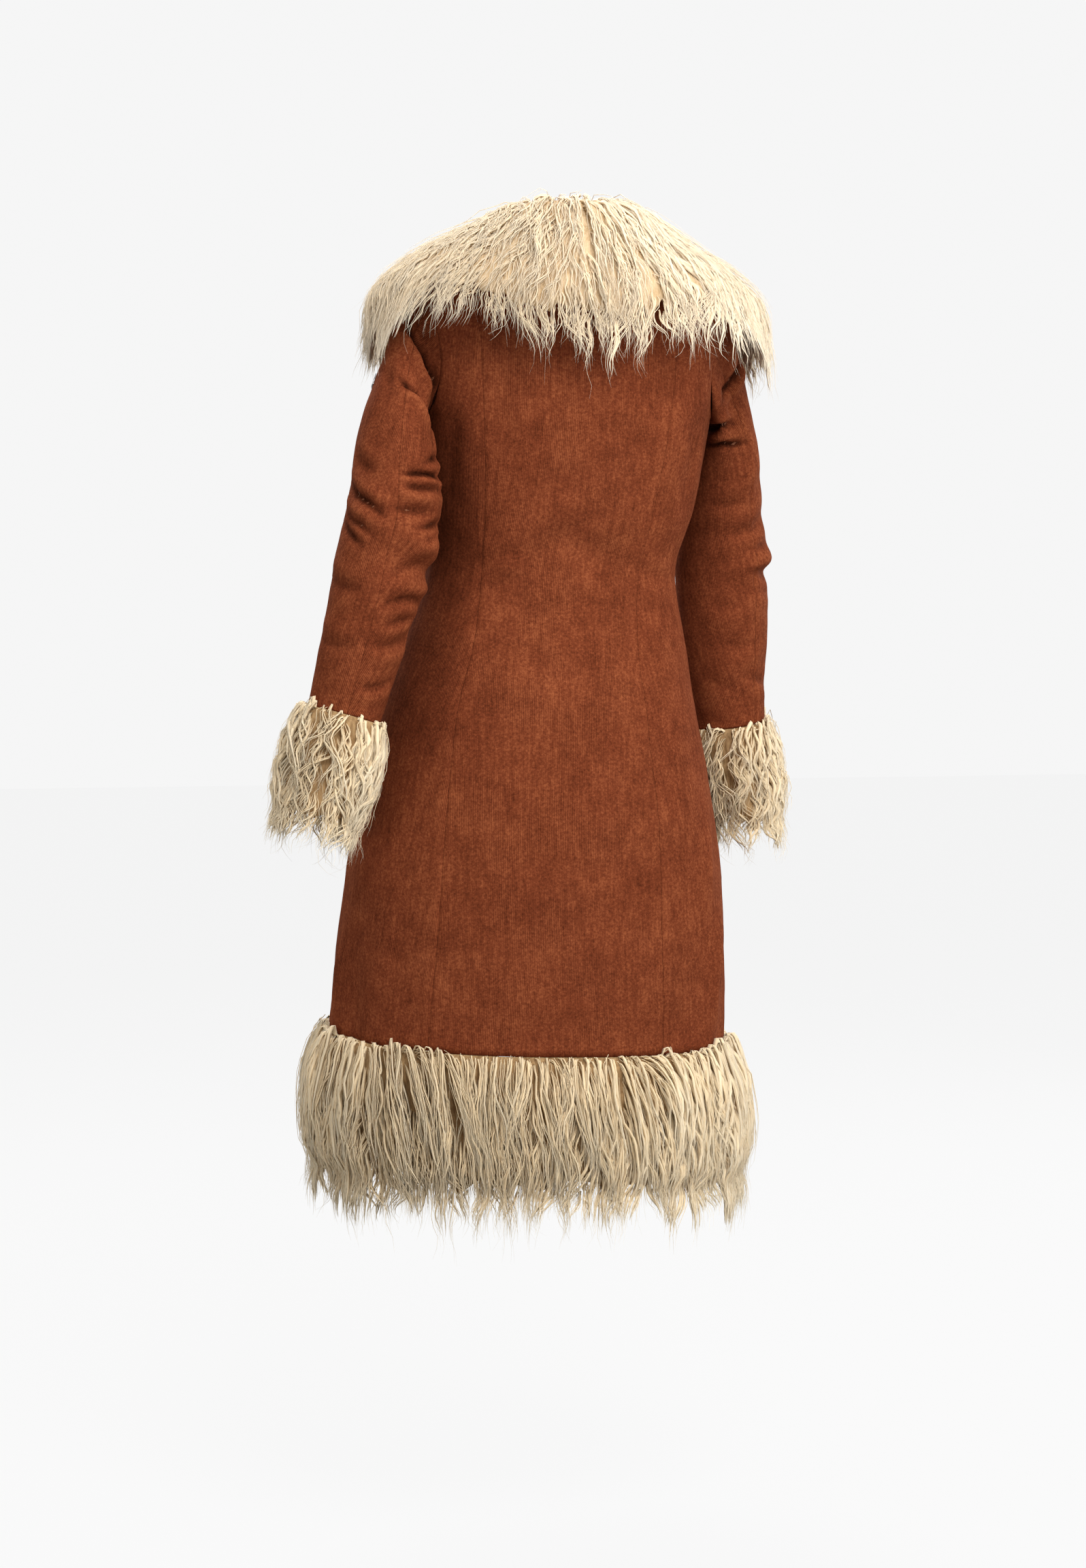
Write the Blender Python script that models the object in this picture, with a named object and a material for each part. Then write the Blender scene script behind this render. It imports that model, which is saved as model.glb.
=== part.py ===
"""Afghan coat in its worn, hollow form: a princess-seamed shell of thin cloth, two-piece
sleeves, and a shaggy pile collar, cuffs and hem. The front faces -Y, the left sleeve is at +X,
and the origin is the middle of the shoulder line, where the coat is carried."""

import math
from collections import namedtuple

import bpy
import numpy as np

# Driving sizes, in metres and degrees
CLOTH = 0.0022  # wall of the shell, a bonded suede-faced cloth
SEAM = 0.0003  # gap between two sewn pieces
ROUNDNESS = 2.3  # exponent of the body's oval sections
ARMHOLE_BACK = {"left": 30.0, "right": 22.0}  # how far the armhole reaches round the back
ARMHOLE_FRONT = 26.0
ARMHOLE_SQUARENESS = 2.4
CAP_START = 0.085  # fullness of the sleeve head at the armhole
CAP_END = 0.20  # and where it runs into the arm
BACKING = 0.002  # woven back of the pile cloth
LOCK_PITCH = 0.031  # spacing of the large locks in the pile
LOCK_RELIEF = 0.0035  # how far a lock stands over the dip beside it
TAB_LENGTH = 0.026  # blank metal tab on the left sleeve
TAB_HEIGHT = 0.010
TAB_THICKNESS = 0.0012

RUST = (0.235, 0.055, 0.022, 1.0)
CREAM = (0.62, 0.47, 0.31, 1.0)
STEEL = (0.62, 0.62, 0.63, 1.0)

# Body sections from hem seam to neckline. sway moves a section to the left side, seam is the
# princess seam's distance from the middle of the back, part is half the front opening,
# lift raises the left side, and tilt raises the back over the front.
Body = namedtuple("Body", "height half_width back front sway seam part lift tilt")
BODY = [
    Body(-0.9360, 0.2380, 0.1920, 0.1800, 0.0490, 0.1390, 0.0110, 0.010, 0.000),
    Body(-0.8175, 0.2335, 0.1830, 0.1670, 0.0430, 0.1330, 0.0080, 0.008, 0.000),
    Body(-0.6765, 0.2165, 0.1690, 0.1480, 0.0380, 0.1260, 0.0050, 0.005, 0.000),
    Body(-0.5400, 0.1885, 0.1450, 0.1320, 0.0355, 0.1115, 0.0030, 0.002, 0.000),
    Body(-0.4650, 0.1705, 0.1230, 0.1210, 0.0285, 0.0980, 0.0020, 0.000, 0.000),
    Body(-0.3810, 0.1490, 0.1030, 0.1130, 0.0205, 0.0935, 0.0020, 0.000, 0.000),
    Body(-0.3075, 0.1620, 0.1120, 0.1240, 0.0107, 0.1000, 0.0020, 0.000, 0.000),
    Body(-0.2000, 0.1730, 0.1210, 0.1290, 0.0020, 0.1100, 0.0020, 0.000, 0.000),
    Body(-0.1200, 0.1810, 0.1150, 0.1120, 0.0000, 0.1150, 0.0030, 0.003, 0.000),
    Body(-0.0500, 0.1890, 0.0960, 0.0900, 0.0000, 0.1150, 0.0040, 0.009, 0.006),
    Body(-0.0220, 0.1400, 0.0880, 0.0850, 0.0000, 0.0950, 0.0050, 0.007, 0.014),
    Body(0.0100, 0.0800, 0.0740, 0.0800, 0.0000, 0.0560, 0.0060, 0.000, 0.026),
]
HEM, UNDERARM, SHOULDER, NECKLINE = 0, 7, 9, 11

# Sleeve sections below the armhole, from upper arm to cuff seam
Arm = namedtuple("Arm", "height x y half_width half_depth")
ARMS = {
    "left": [
        Arm(-0.262, 0.2150, 0.080, 0.0490, 0.056),
        Arm(-0.316, 0.2185, 0.090, 0.0560, 0.060),
        Arm(-0.366, 0.2320, 0.098, 0.0545, 0.060),
        Arm(-0.403, 0.2405, 0.103, 0.0525, 0.058),
        Arm(-0.463, 0.2565, 0.110, 0.0490, 0.054),
        Arm(-0.504, 0.2680, 0.114, 0.0455, 0.050),
        Arm(-0.542, 0.2790, 0.118, 0.0430, 0.046),
    ],
    "right": [
        Arm(-0.262, -0.2030, -0.078, 0.0440, 0.056),
        Arm(-0.316, -0.2060, -0.092, 0.0520, 0.060),
        Arm(-0.366, -0.2070, -0.100, 0.0565, 0.060),
        Arm(-0.403, -0.2085, -0.103, 0.0565, 0.059),
        Arm(-0.463, -0.2100, -0.107, 0.0555, 0.0565),
        Arm(-0.520, -0.2135, -0.110, 0.0510, 0.0515),
        Arm(-0.575, -0.2200, -0.113, 0.0455, 0.047),
    ],
}
SIDE = {"left": 1.0, "right": -1.0}
BACK_SEAM = {"left": 90.0, "right": 54.0}  # sleeve seams, degrees from the outside to the back
FRONT_SEAM = {"left": 270.0, "right": 234.0}
PITCH = {"left": 36.0, "right": -36.0}  # turn of each sleeve on its armhole, backward or forward
ARMHOLE_ROWS = 10  # rows of the body up one side of an armhole, matched by the sleeve's columns

# Largest folds of the body: a line from one section and angle to another. Depth is negative
# for a trough; open folds run out through the hem, and the others fade at both ends.
Fold = namedtuple("Fold", "top bottom top_angle bottom_angle width depth open_hem")
BODY_FOLDS = [
    Fold(2.1, 0.9, 151.0, 148.0, 0.024, 0.005, False),
    Fold(1.6, 0.0, 158.0, 142.0, 0.026, 0.006, True),
    Fold(1.3, 0.0, 170.0, 158.0, 0.026, -0.005, True),
    Fold(1.2, 0.0, 6.0, 10.0, 0.018, 0.006, True),
    Fold(1.5, 0.0, 20.0, 24.0, 0.022, -0.005, True),
    Fold(2.4, 0.0, -40.0, -48.0, 0.030, 0.007, True),
    Fold(2.0, 0.0, -62.0, -66.0, 0.026, -0.006, True),
    Fold(2.4, 0.0, 221.0, 229.0, 0.030, 0.007, True),
    Fold(2.0, 0.0, 244.0, 247.0, 0.026, -0.006, True),
    Fold(6.4, 4.6, 62.0, 124.0, 0.030, -0.004, False),
    Fold(6.0, 4.2, 40.0, 100.0, 0.028, 0.004, False),
]
# Largest folds of the sleeves: run is how many sections the fold drops from its middle to the
# angle where it fades
SleeveFold = namedtuple("SleeveFold", "station angle spread run width depth")
SLEEVE_FOLDS = {
    "left": [
        SleeveFold(0.42, 118.0, 42.0, 0.36, 0.24, -0.006),
        SleeveFold(0.85, 112.0, 50.0, 0.26, 0.26, 0.005),
        SleeveFold(2.05, 140.0, 50.0, 0.10, 0.22, -0.005),
        SleeveFold(2.50, 135.0, 55.0, 0.05, 0.24, 0.007),
        SleeveFold(3.00, 150.0, 50.0, -0.15, 0.26, -0.004),
        SleeveFold(3.70, 150.0, 48.0, -0.25, 0.26, 0.006),
        SleeveFold(4.60, 155.0, 50.0, -0.30, 0.28, -0.004),
    ],
    "right": [
        SleeveFold(0.50, 62.0, 42.0, 0.26, 0.24, -0.005),
        SleeveFold(0.98, 58.0, 45.0, 0.15, 0.26, 0.005),
        SleeveFold(2.10, 40.0, 50.0, 0.15, 0.26, -0.006),
        SleeveFold(3.10, 30.0, 55.0, 0.10, 0.28, 0.006),
        SleeveFold(3.70, 25.0, 50.0, 0.10, 0.26, -0.006),
    ],
}

# Collar sections from the neck seam over the roll to the lower edge: distance from the neck's
# axis and height, at the side, back and front, and how thick the pile stands there
Collar = namedtuple("Collar", "side side_z back back_z front front_z pile")
COLLAR = [
    Collar(0.0800, 0.0105, 0.0740, 0.0365, 0.0800, -0.0155, 0.005),
    Collar(0.0850, 0.0215, 0.0800, 0.0440, 0.0870, 0.0000, 0.012),
    Collar(0.0960, 0.0205, 0.0930, 0.0420, 0.0990, 0.0050, 0.019),
    Collar(0.1220, 0.0015, 0.1180, 0.0270, 0.1200, -0.0200, 0.023),
    Collar(0.1570, -0.0200, 0.1360, -0.0010, 0.1370, -0.0600, 0.026),
    Collar(0.1930, -0.0420, 0.1490, -0.0310, 0.1460, -0.1050, 0.026),
    Collar(0.2240, -0.0710, 0.1570, -0.0620, 0.1500, -0.1400, 0.022),
    Collar(0.2310, -0.1000, 0.1600, -0.0900, 0.1530, -0.1640, 0.010),
]
COLLAR_TIPS = (0.018, 0.055)  # shortest and longest lock below the collar's pile
SHOULDER_FLAT = 0.62  # share by which the pile lies flatter over the shoulders
COLLAR_LEAN = 0.0115  # how much the outer collar is raised on the left and lowered on the right
COLLAR_TRIM = {"left": 0.15, "right": 0.14}  # share by which it is cut shorter over the shoulder blades

# Pile sections of the hem and cuffs: distance down from the seam, widening of the backing,
# and how thick the pile stands
Pile = namedtuple("Pile", "drop widen pile")
HEM_PILE = [
    Pile(0.000, 0.000, 0.004),
    Pile(0.012, 0.001, 0.022),
    Pile(0.045, 0.002, 0.031),
    Pile(0.095, 0.004, 0.033),
    Pile(0.135, 0.006, 0.028),
    Pile(0.158, 0.007, 0.014),
]
HEM_TIPS = (0.014, 0.058)
CUFF_PILE = [
    Pile(0.000, 0.000, 0.005),
    Pile(0.010, 0.000, 0.014),
    Pile(0.036, 0.000, 0.018),
    Pile(0.076, 0.001, 0.017),
    Pile(0.110, 0.001, 0.012),
    Pile(0.124, 0.001, 0.006),
]
CUFF_TIPS = (0.008, 0.036)
TIP_WALL = 0.003  # thickness of the pile where its locks end


def clear_scene():
    for obj in list(bpy.data.objects):
        bpy.data.objects.remove(obj, do_unlink=True)


def principled(name, colour, roughness, metallic):
    material = bpy.data.materials.new(name)
    material.use_nodes = True
    shader = material.node_tree.nodes["Principled BSDF"]
    shader.inputs["Base Color"].default_value = colour
    shader.inputs["Roughness"].default_value = roughness
    shader.inputs["Metallic"].default_value = metallic
    return material


def between(table, column, station):
    """A column of a table at a fractional row, on a smooth curve through its rows."""
    values = np.array([getattr(row, column) for row in table])
    station = np.clip(station, 0, len(values) - 1)
    row = np.minimum(station.astype(int), len(values) - 2)
    padded = np.concatenate([[2 * values[0] - values[1]], values, [2 * values[-1] - values[-2]]])
    before, start, end, after = (padded[row + k] for k in range(4))
    u = station - row
    leave = (end - before) / 2
    arrive = (after - start) / 2
    return hermite(start, leave, end, arrive, u)


def hermite(start, leave, end, arrive, u):
    return (
        (2 * u**3 - 3 * u**2 + 1) * start
        + (u**3 - 2 * u**2 + u) * leave
        + (3 * u**2 - 2 * u**3) * end
        + (u**3 - u**2) * arrive
    )


def signed_power(value, power):
    return np.sign(value) * np.abs(value) ** power


def unit(vectors):
    return vectors / np.linalg.norm(vectors, axis=-1, keepdims=True)


def stack(x, y, z):
    return np.stack(np.broadcast_arrays(x, y, z), axis=-1)


def uneven(index, salt):
    """A steady number from 0 to 1 for each lock, with no order to it."""
    return np.modf(np.abs(np.sin(index * 12.9898 + salt * 78.233)) * 43758.5453)[0]


# Body surface

def fold_push(angle, station):
    """How far the largest folds move the body's surface out."""
    push = np.zeros(np.broadcast(angle, station).shape)
    radius = between(BODY, "half_width", station)
    for fold in BODY_FOLDS:
        along = (station - fold.bottom) / (fold.top - fold.bottom)
        middle = np.radians(fold.bottom_angle + (fold.top_angle - fold.bottom_angle) * along)
        fade = np.clip(np.where(along < 0.5, 1.0, 2 - 2 * along), 0, 1)
        if not fold.open_hem:
            fade = np.minimum(fade, np.clip(2 * along, 0, 1))
        fade = np.where((along < 0) | (along > 1), 0, fade)
        swing = np.mod(angle - middle + math.pi, 2 * math.pi) - math.pi
        push += fold.depth * np.sin(fade * math.pi / 2) ** 2 * np.exp(-((swing * radius / fold.width) ** 2))
    return push


def body_point(angle, station):
    """The body's outer surface. Angle 0 is the left side, 90 degrees the middle of the back."""
    across = signed_power(np.cos(angle), 2 / ROUNDNESS)
    along = signed_power(np.sin(angle), 2 / ROUNDNESS)
    push = fold_push(angle, station)
    depth = np.where(along > 0, between(BODY, "back", station), between(BODY, "front", station))
    x = between(BODY, "sway", station) + (between(BODY, "half_width", station) + push) * across
    y = (depth + push) * along
    z = between(BODY, "height", station)
    z = z + between(BODY, "lift", station) * np.cos(angle) + between(BODY, "tilt", station) * np.sin(angle)
    return stack(x, y, z)


def body_slopes(angle, station):
    step = 0.04
    low = np.clip(station - step, HEM, NECKLINE)
    high = np.clip(station + step, HEM, NECKLINE)
    around = body_point(angle + step, station) - body_point(angle - step, station)
    upward = body_point(angle, high) - body_point(angle, low)
    return around / (2 * step), unit(upward)


def body_normal(angle, station):
    around, upward = body_slopes(angle, station)
    return unit(np.cross(around, upward))


def armhole_angle(station, reach):
    """Angle from the side to the armhole's edge, 0 below the underarm and above the shoulder."""
    q = np.clip((station - UNDERARM) / (SHOULDER - UNDERARM), 0, 1)
    return np.radians(reach) * (1 - np.abs(2 * q - 1) ** ARMHOLE_SQUARENESS) ** (1 / ARMHOLE_SQUARENESS)


def princess_angle(station):
    share = between(BODY, "seam", station) / between(BODY, "half_width", station)
    return np.arccos(np.clip(share, 0, 1) ** (ROUNDNESS / 2))


def front_angle(station):
    share = between(BODY, "part", station) / between(BODY, "half_width", station)
    return -np.arccos(share ** (ROUNDNESS / 2))


def body_stations():
    skirt = np.linspace(HEM, 3, 10)
    torso = np.arange(3.5, UNDERARM + 0.1, 0.5)
    turns = np.arange(1, ARMHOLE_ROWS + 1) / ARMHOLE_ROWS
    armhole = UNDERARM + (SHOULDER - UNDERARM) * (1 - np.cos(math.pi * turns)) / 2
    shoulder = np.arange(SHOULDER + 0.5, NECKLINE + 0.1, 0.5)
    return np.concatenate([skirt, torso, armhole, shoulder])


# Walls

def wall_faces(outer, closed):
    """Faces of a wall whose outer grid comes first and whose inner grid follows it. Both grids
    are split along the same diagonals, so that the wall keeps its thickness."""
    faces = []
    rows, columns = outer.shape[:2]
    points = outer.reshape(-1, 3)
    inner = rows * columns
    last = columns if closed else columns - 1

    def at(row, column):
        return row * columns + column % columns

    for i in range(rows - 1):
        for j in range(last):
            a, b, c, d = at(i, j), at(i, j + 1), at(i + 1, j + 1), at(i + 1, j)
            if np.linalg.norm(points[a] - points[c]) > np.linalg.norm(points[b] - points[d]):
                a, b, c, d = b, c, d, a
            for face in ((a, b, c), (a, c, d)):
                faces.append(face)
                faces.append(tuple(inner + k for k in face[::-1]))
    for j in range(last):
        top, bottom = (at(rows - 1, j), at(rows - 1, j + 1)), (at(0, j), at(0, j + 1))
        faces.append((top[0], top[1], inner + top[1], inner + top[0]))
        faces.append((bottom[1], bottom[0], inner + bottom[0], inner + bottom[1]))
    if not closed:
        for i in range(rows - 1):
            # both seam edges split the same way, so that neighbours stay parallel
            low, high = at(i, 0), at(i + 1, 0)
            faces.append((low, high, inner + high))
            faces.append((low, inner + high, inner + low))
            low, high = at(i, columns - 1), at(i + 1, columns - 1)
            faces.append((high, low, inner + high))
            faces.append((low, inner + low, inner + high))
    return faces


def signed_volume(points, faces):
    corners = np.array([(face[0], face[k], face[k + 1]) for face in faces for k in range(1, len(face) - 1)])
    a, b, c = (points[corners[:, k]] for k in range(3))
    return np.einsum("ij,ij->i", a, np.cross(b, c)).sum() / 6


def add_wall(name, outer, inner, material, closed=False):
    """A closed solid between two grids of points."""
    points = np.concatenate([outer.reshape(-1, 3), inner.reshape(-1, 3)])
    faces = wall_faces(outer, closed)
    if signed_volume(points, faces) < 0:
        faces = [face[::-1] for face in faces]
    mesh = bpy.data.meshes.new(name)
    mesh.from_pydata(points.tolist(), [], faces)
    mesh.shade_smooth()
    mesh.set_sharp_from_angle(angle=math.radians(50))
    mesh.materials.append(material)
    obj = bpy.data.objects.new(name, mesh)
    bpy.context.scene.collection.objects.link(obj)
    return obj


# Body panels

def add_body_panel(name, start, end, columns, material):
    """A panel between two seams, each given as an angle for every row of the body."""
    stations = body_stations()
    edge = [start(stations), end(stations)]
    turn = np.sign(edge[1] - edge[0]).mean()
    for k, inward in ((0, 1), (1, -1)):
        around, _ = body_slopes(edge[k], stations)
        edge[k] = edge[k] + inward * turn * SEAM / 2 / np.linalg.norm(around, axis=-1)
    share = np.linspace(0, 1, columns)
    angle = edge[0][:, None] + (edge[1] - edge[0])[:, None] * share
    station = np.repeat(stations[:, None], columns, axis=1)
    outer = body_point(angle, station)
    return add_wall(name, outer, outer - CLOTH * body_normal(angle, station), material)


def mirrored(edge, side):
    """The same seam on the other side of the body."""
    return edge if side == "left" else lambda station: math.pi - edge(station)


def add_body(material):
    add_body_panel("back_centre", princess_angle, mirrored(princess_angle, "right"), 9, material)
    for side in SIDE:
        back_edge = mirrored(lambda s: armhole_angle(s, ARMHOLE_BACK[side]), side)
        front_edge = mirrored(lambda s: -armhole_angle(s, ARMHOLE_FRONT), side)
        add_body_panel(f"back_side_{side}", back_edge, mirrored(princess_angle, side), 8, material)
        add_body_panel(f"front_{side}", mirrored(front_angle, side), front_edge, 10, material)


# Sleeves

def armhole_ring(side, turn):
    """The sleeve's first ring, just inside the armhole's edge, with the body's normal and the
    direction into the hole there. Turn 0 is the outside of the arm, 90 degrees the back."""
    turn = turn - math.radians(PITCH[side])

    def place(at):
        reach = np.where(np.sin(at) >= 0, ARMHOLE_BACK[side], -ARMHOLE_FRONT)
        station = UNDERARM + (SHOULDER - UNDERARM) * (1 + np.cos(at)) / 2
        bend = (1 - np.abs(np.cos(at)) ** ARMHOLE_SQUARENESS) ** (1 / ARMHOLE_SQUARENESS)
        angle = np.radians(reach) * bend
        return (angle if side == "left" else math.pi - angle), station

    angle, station = place(turn)
    normal = body_normal(angle, station)
    step = 0.02
    tangent = unit(body_point(*place(turn + step)) - body_point(*place(turn - step)))
    into = unit(np.cross(tangent, normal)) * SIDE[side]
    return body_point(angle, station) + into * 2 * SEAM, normal, into


def arm_frame(side, station):
    """Middle of a sleeve section, its direction, and its outward and backward axes."""
    arm = ARMS[side]
    middle = stack(*(between(arm, axis, station) for axis in ("x", "y", "height")))
    step = 1e-3
    ahead, behind = np.clip(station + step, 0, len(arm) - 1), np.clip(station - step, 0, len(arm) - 1)
    along = unit(
        stack(*(between(arm, axis, ahead) - between(arm, axis, behind) for axis in ("x", "y", "height")))
    )
    side_axis = np.zeros_like(along)
    side_axis[..., 0] = SIDE[side]
    out = unit(side_axis - along * np.sum(side_axis * along, axis=-1, keepdims=True))
    return middle, along, out, SIDE[side] * np.cross(out, along)


def arm_ring(side, turn, station, grow=0.0):
    middle, along, out, back = arm_frame(side, station)
    width = between(ARMS[side], "half_width", station) + grow
    depth = between(ARMS[side], "half_depth", station) + grow
    ring = middle + out * (width * np.cos(turn))[..., None] + back * (depth * np.sin(turn))[..., None]
    return ring, along


def sleeve_fold_push(side, turn, station):
    push = np.zeros(turn.shape)
    for fold in SLEEVE_FOLDS[side]:
        swing = (np.mod(turn - math.radians(fold.angle) + math.pi, 2 * math.pi) - math.pi)
        swing = swing / math.radians(fold.spread)
        drop = station - fold.station - fold.run * swing
        push += fold.depth * np.exp(-(swing**2)) * np.exp(-((drop / fold.width) ** 2))
    return push * np.clip(station * 4, 0, 1)


def high_on_armhole(side, turn):
    """1 over the upper armhole, falling to 0 under the arm."""
    turn = turn - math.radians(PITCH[side])
    high = np.clip((1 + np.cos(turn)) / 2 / 0.45, 0, 1)[..., None]
    return high * high * (3 - 2 * high)


def sleeve_plain(side, turn, station):
    """Sleeve surface without folds: station 0 is the armhole, 1 the first section of the arm."""
    start, normal, into = armhole_ring(side, turn)
    first, along = arm_ring(side, turn, np.zeros_like(turn))
    high = high_on_armhole(side, turn)
    leave = CAP_START * unit(into * high + (normal * 0.9 + along * 0.5) * (1 - high))
    cap = hermite(start, leave, first, along * CAP_END, np.clip(station, 0, 1)[..., None])
    arm, _ = arm_ring(side, turn, np.clip(station - 1, 0, None))
    return np.where((station < 1)[..., None], cap, arm)


def sleeve_normal(side, turn, station, point):
    step = 0.08
    around = point(side, turn + step, station) - point(side, turn - step, station)
    last = len(ARMS[side])
    ahead = point(side, turn, np.clip(station + step, 0, last))
    behind = point(side, turn, np.clip(station - step, 0, last))
    return SIDE[side] * unit(np.cross(ahead - behind, around))


def sleeve_point(side, turn, station):
    push = sleeve_fold_push(side, turn, station)[..., None]
    return sleeve_plain(side, turn, station) + push * sleeve_normal(side, turn, station, sleeve_plain)


def sleeve_stations(side):
    cap = np.linspace(0, 1, 9)
    return np.concatenate([cap, np.linspace(1, len(ARMS[side]), 18)[1:]])


def add_sleeve_panel(name, side, start, end, material):
    stations = sleeve_stations(side)
    columns = round((end - start) * ARMHOLE_ROWS / 180) + 1
    half_gap = SEAM / 2 / ARMS[side][-1].half_width
    turn = np.linspace(math.radians(start) + half_gap, math.radians(end) - half_gap, columns)
    turn, station = np.meshgrid(turn, stations)
    outer = sleeve_point(side, turn, station)
    normal = sleeve_normal(side, turn, station, sleeve_point)
    # the first row stands against the body's edge, mitred under the arm
    _, body_side, _ = armhole_ring(side, turn[0])
    normal[0] = unit(body_side + normal[0] * (1 - high_on_armhole(side, turn[0])))
    normal[1] = unit(normal[0] + normal[1])
    return add_wall(name, outer, outer - CLOTH * normal, material)


def add_sleeves(material):
    for side in SIDE:
        back, front = BACK_SEAM[side], FRONT_SEAM[side]
        add_sleeve_panel(f"sleeve_{side}_upper", side, front - 360, back, material)
        add_sleeve_panel(f"sleeve_{side}_under", side, back, front, material)


def add_tab(material):
    """Blank metal tab, lying on the left sleeve below the shoulder."""
    side, station, turn = "left", 0.57, math.radians(2)
    reach = TAB_LENGTH / 2 / ARMS[side][0].half_width
    tall = TAB_HEIGHT / 2 / (BODY[SHOULDER].height - ARMS[side][0].height)
    turns, stations = np.meshgrid(
        np.linspace(turn - reach, turn + reach, 5), np.linspace(station - tall, station + tall, 3)
    )
    base = sleeve_point(side, turns, stations)
    normal = sleeve_normal(side, turns, stations, sleeve_point)
    add_wall("sleeve_tab", base + (SEAM + TAB_THICKNESS) * normal, base + SEAM * normal, material)


# Pile

def lock_columns(length):
    """Column count for a run of pile, with a crest and a dip for each lock."""
    return 2 * max(round(length / LOCK_PITCH), 4) + 1


def lock_profile(columns, rows, tips, salt):
    """Relief of each column, and how far its lock hangs below the pile."""
    column = np.arange(columns)
    crest = column % 2 == 1
    relief = np.where(crest, LOCK_RELIEF, -LOCK_RELIEF) * (0.6 + 0.8 * uneven(column, salt))
    fade = np.sin(np.linspace(0.12, 1, rows) * math.pi / 2)[:, None]
    long = tips[0] + (tips[1] - tips[0]) * uneven(column, salt + 1)
    return relief * fade, np.where(crest, long, tips[0] * uneven(column, salt + 2))


def add_pile(name, inside, normal, pile, down, tips, salt, material, closed=False):
    """A pile wall: plain inside, locks raised on its outside and hanging from its lower edge."""
    rows, columns = inside.shape[:2]
    relief, hang = lock_profile(columns, rows, tips, salt)
    outside = inside + normal * (BACKING + pile + relief * (pile > LOCK_RELIEF))[..., None]
    middle = (inside[-1] + outside[-1]) / 2
    tip = middle + down * hang[:, None] - normal[-1] * TIP_WALL / 2
    inside = np.concatenate([inside, tip[None]])
    outside = np.concatenate([outside, tip[None] + normal[-1:] * TIP_WALL])
    return add_wall(name, outside, inside, material, closed)


def grid_normal(points, closed=False):
    """Normals of a grid of points, from the differences between its rows and columns."""
    if closed:
        around = np.roll(points, -1, axis=1) - np.roll(points, 1, axis=1)
    else:
        around = np.gradient(points, axis=1)
    return unit(np.cross(np.gradient(points, axis=0), around))


def hem_grid(start, end, columns):
    """Inside of the hem's pile between two angles, as rows running down from the seam."""
    angle = np.linspace(start, end, columns)
    seam = body_point(angle, np.zeros(columns))
    seam = seam - (CLOTH - BACKING) * body_normal(angle, np.zeros(columns))
    outward = body_normal(angle, np.zeros(columns)) * [1, 1, 0]
    return np.stack(
        [seam + outward * row.widen - [0, 0, row.drop + 2 * SEAM] for row in HEM_PILE]
    ) - outward * BACKING


def add_hem(material):
    pile = np.array([row.pile for row in HEM_PILE])[:, None]
    opening = -front_angle(np.zeros(1))[0]
    half_gap = SEAM / 2 / BODY[HEM].half_width
    runs = {
        "hem_pile_left": (-opening, 0.0),
        "hem_pile_back": (0.0, math.pi),
        "hem_pile_right": (math.pi, math.pi + opening),
    }
    for salt, (name, (start, end)) in enumerate(runs.items()):
        length = (end - start) * (BODY[HEM].half_width + BODY[HEM].back) / 2
        inside = hem_grid(start + half_gap, end - half_gap, lock_columns(length))
        normal = grid_normal(inside)
        add_pile(name, inside, normal, pile, np.array([0, 0, -1.0]), HEM_TIPS, salt, material)


def add_cuffs(material):
    pile = np.array([row.pile for row in CUFF_PILE])[:, None]
    for salt, side in enumerate(SIDE):
        arm = ARMS[side]
        columns = lock_columns(2 * math.pi * arm[-1].half_depth) - 1
        turn = np.linspace(0, 2 * math.pi, columns, endpoint=False)
        last = np.full(columns, float(len(arm) - 1))
        rows = []
        for row in CUFF_PILE:
            ring, along = arm_ring(side, turn, last, row.widen - BACKING)
            rows.append(ring + along * (row.drop + SEAM))
        inside = np.stack(rows)
        normal = grid_normal(inside, closed=True) * SIDE[side]
        add_pile(f"cuff_{side}", inside, normal, pile, along, CUFF_TIPS, salt + 5, material, closed=True)


def collar_grid(columns):
    """Underside of the collar, from the neck seam over the roll to the lower edge."""
    opening = front_angle(np.array([float(NECKLINE)]))[0]
    angle = np.linspace(opening, math.pi - opening, columns)
    across = signed_power(np.cos(angle), 2 / ROUNDNESS)
    along = signed_power(np.sin(angle), 2 / ROUNDNESS)
    rows = []
    for row in COLLAR:
        deep = np.where(along > 0, row.back, row.front)
        tilt = (row.back_z - row.front_z) / 2
        bow = (row.back_z + row.front_z) / 2 - row.side_z
        lean = COLLAR_LEAN * min((row.side - COLLAR[0].side) / COLLAR[0].side, 1)
        z = row.side_z + lean * np.cos(angle) + tilt * np.sin(angle) + bow * np.sin(angle) ** 2
        rows.append(stack(row.side * across, deep * along, z + SEAM))
    rows = np.stack(rows)
    trim = np.where(np.cos(angle) > 0, COLLAR_TRIM["left"], COLLAR_TRIM["right"])
    trim = np.where(along > 0, trim * np.sin(2 * angle) ** 2, 0)
    station = np.arange(len(COLLAR))[:, None] * (1 - trim)
    low = np.minimum(station.astype(int), len(COLLAR) - 2)
    part = (station - low)[..., None]
    column = np.arange(columns)
    return rows[low, column] * (1 - part) + rows[low + 1, column] * part


def add_collar(material):
    length = math.pi * (COLLAR[-1].side + COLLAR[-1].back)
    inside = collar_grid(lock_columns(length))
    normal = grid_normal(inside)
    flat = 1 - SHOULDER_FLAT * unit(inside[-1, :, :2])[:, 0] ** 2
    pile = np.array([row.pile for row in COLLAR])[:, None] * flat
    down = unit(unit(inside[-1] - inside[-2]) + [0, 0, -0.6])
    add_pile("collar", inside, normal, pile, down, COLLAR_TIPS, 9, material)


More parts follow.
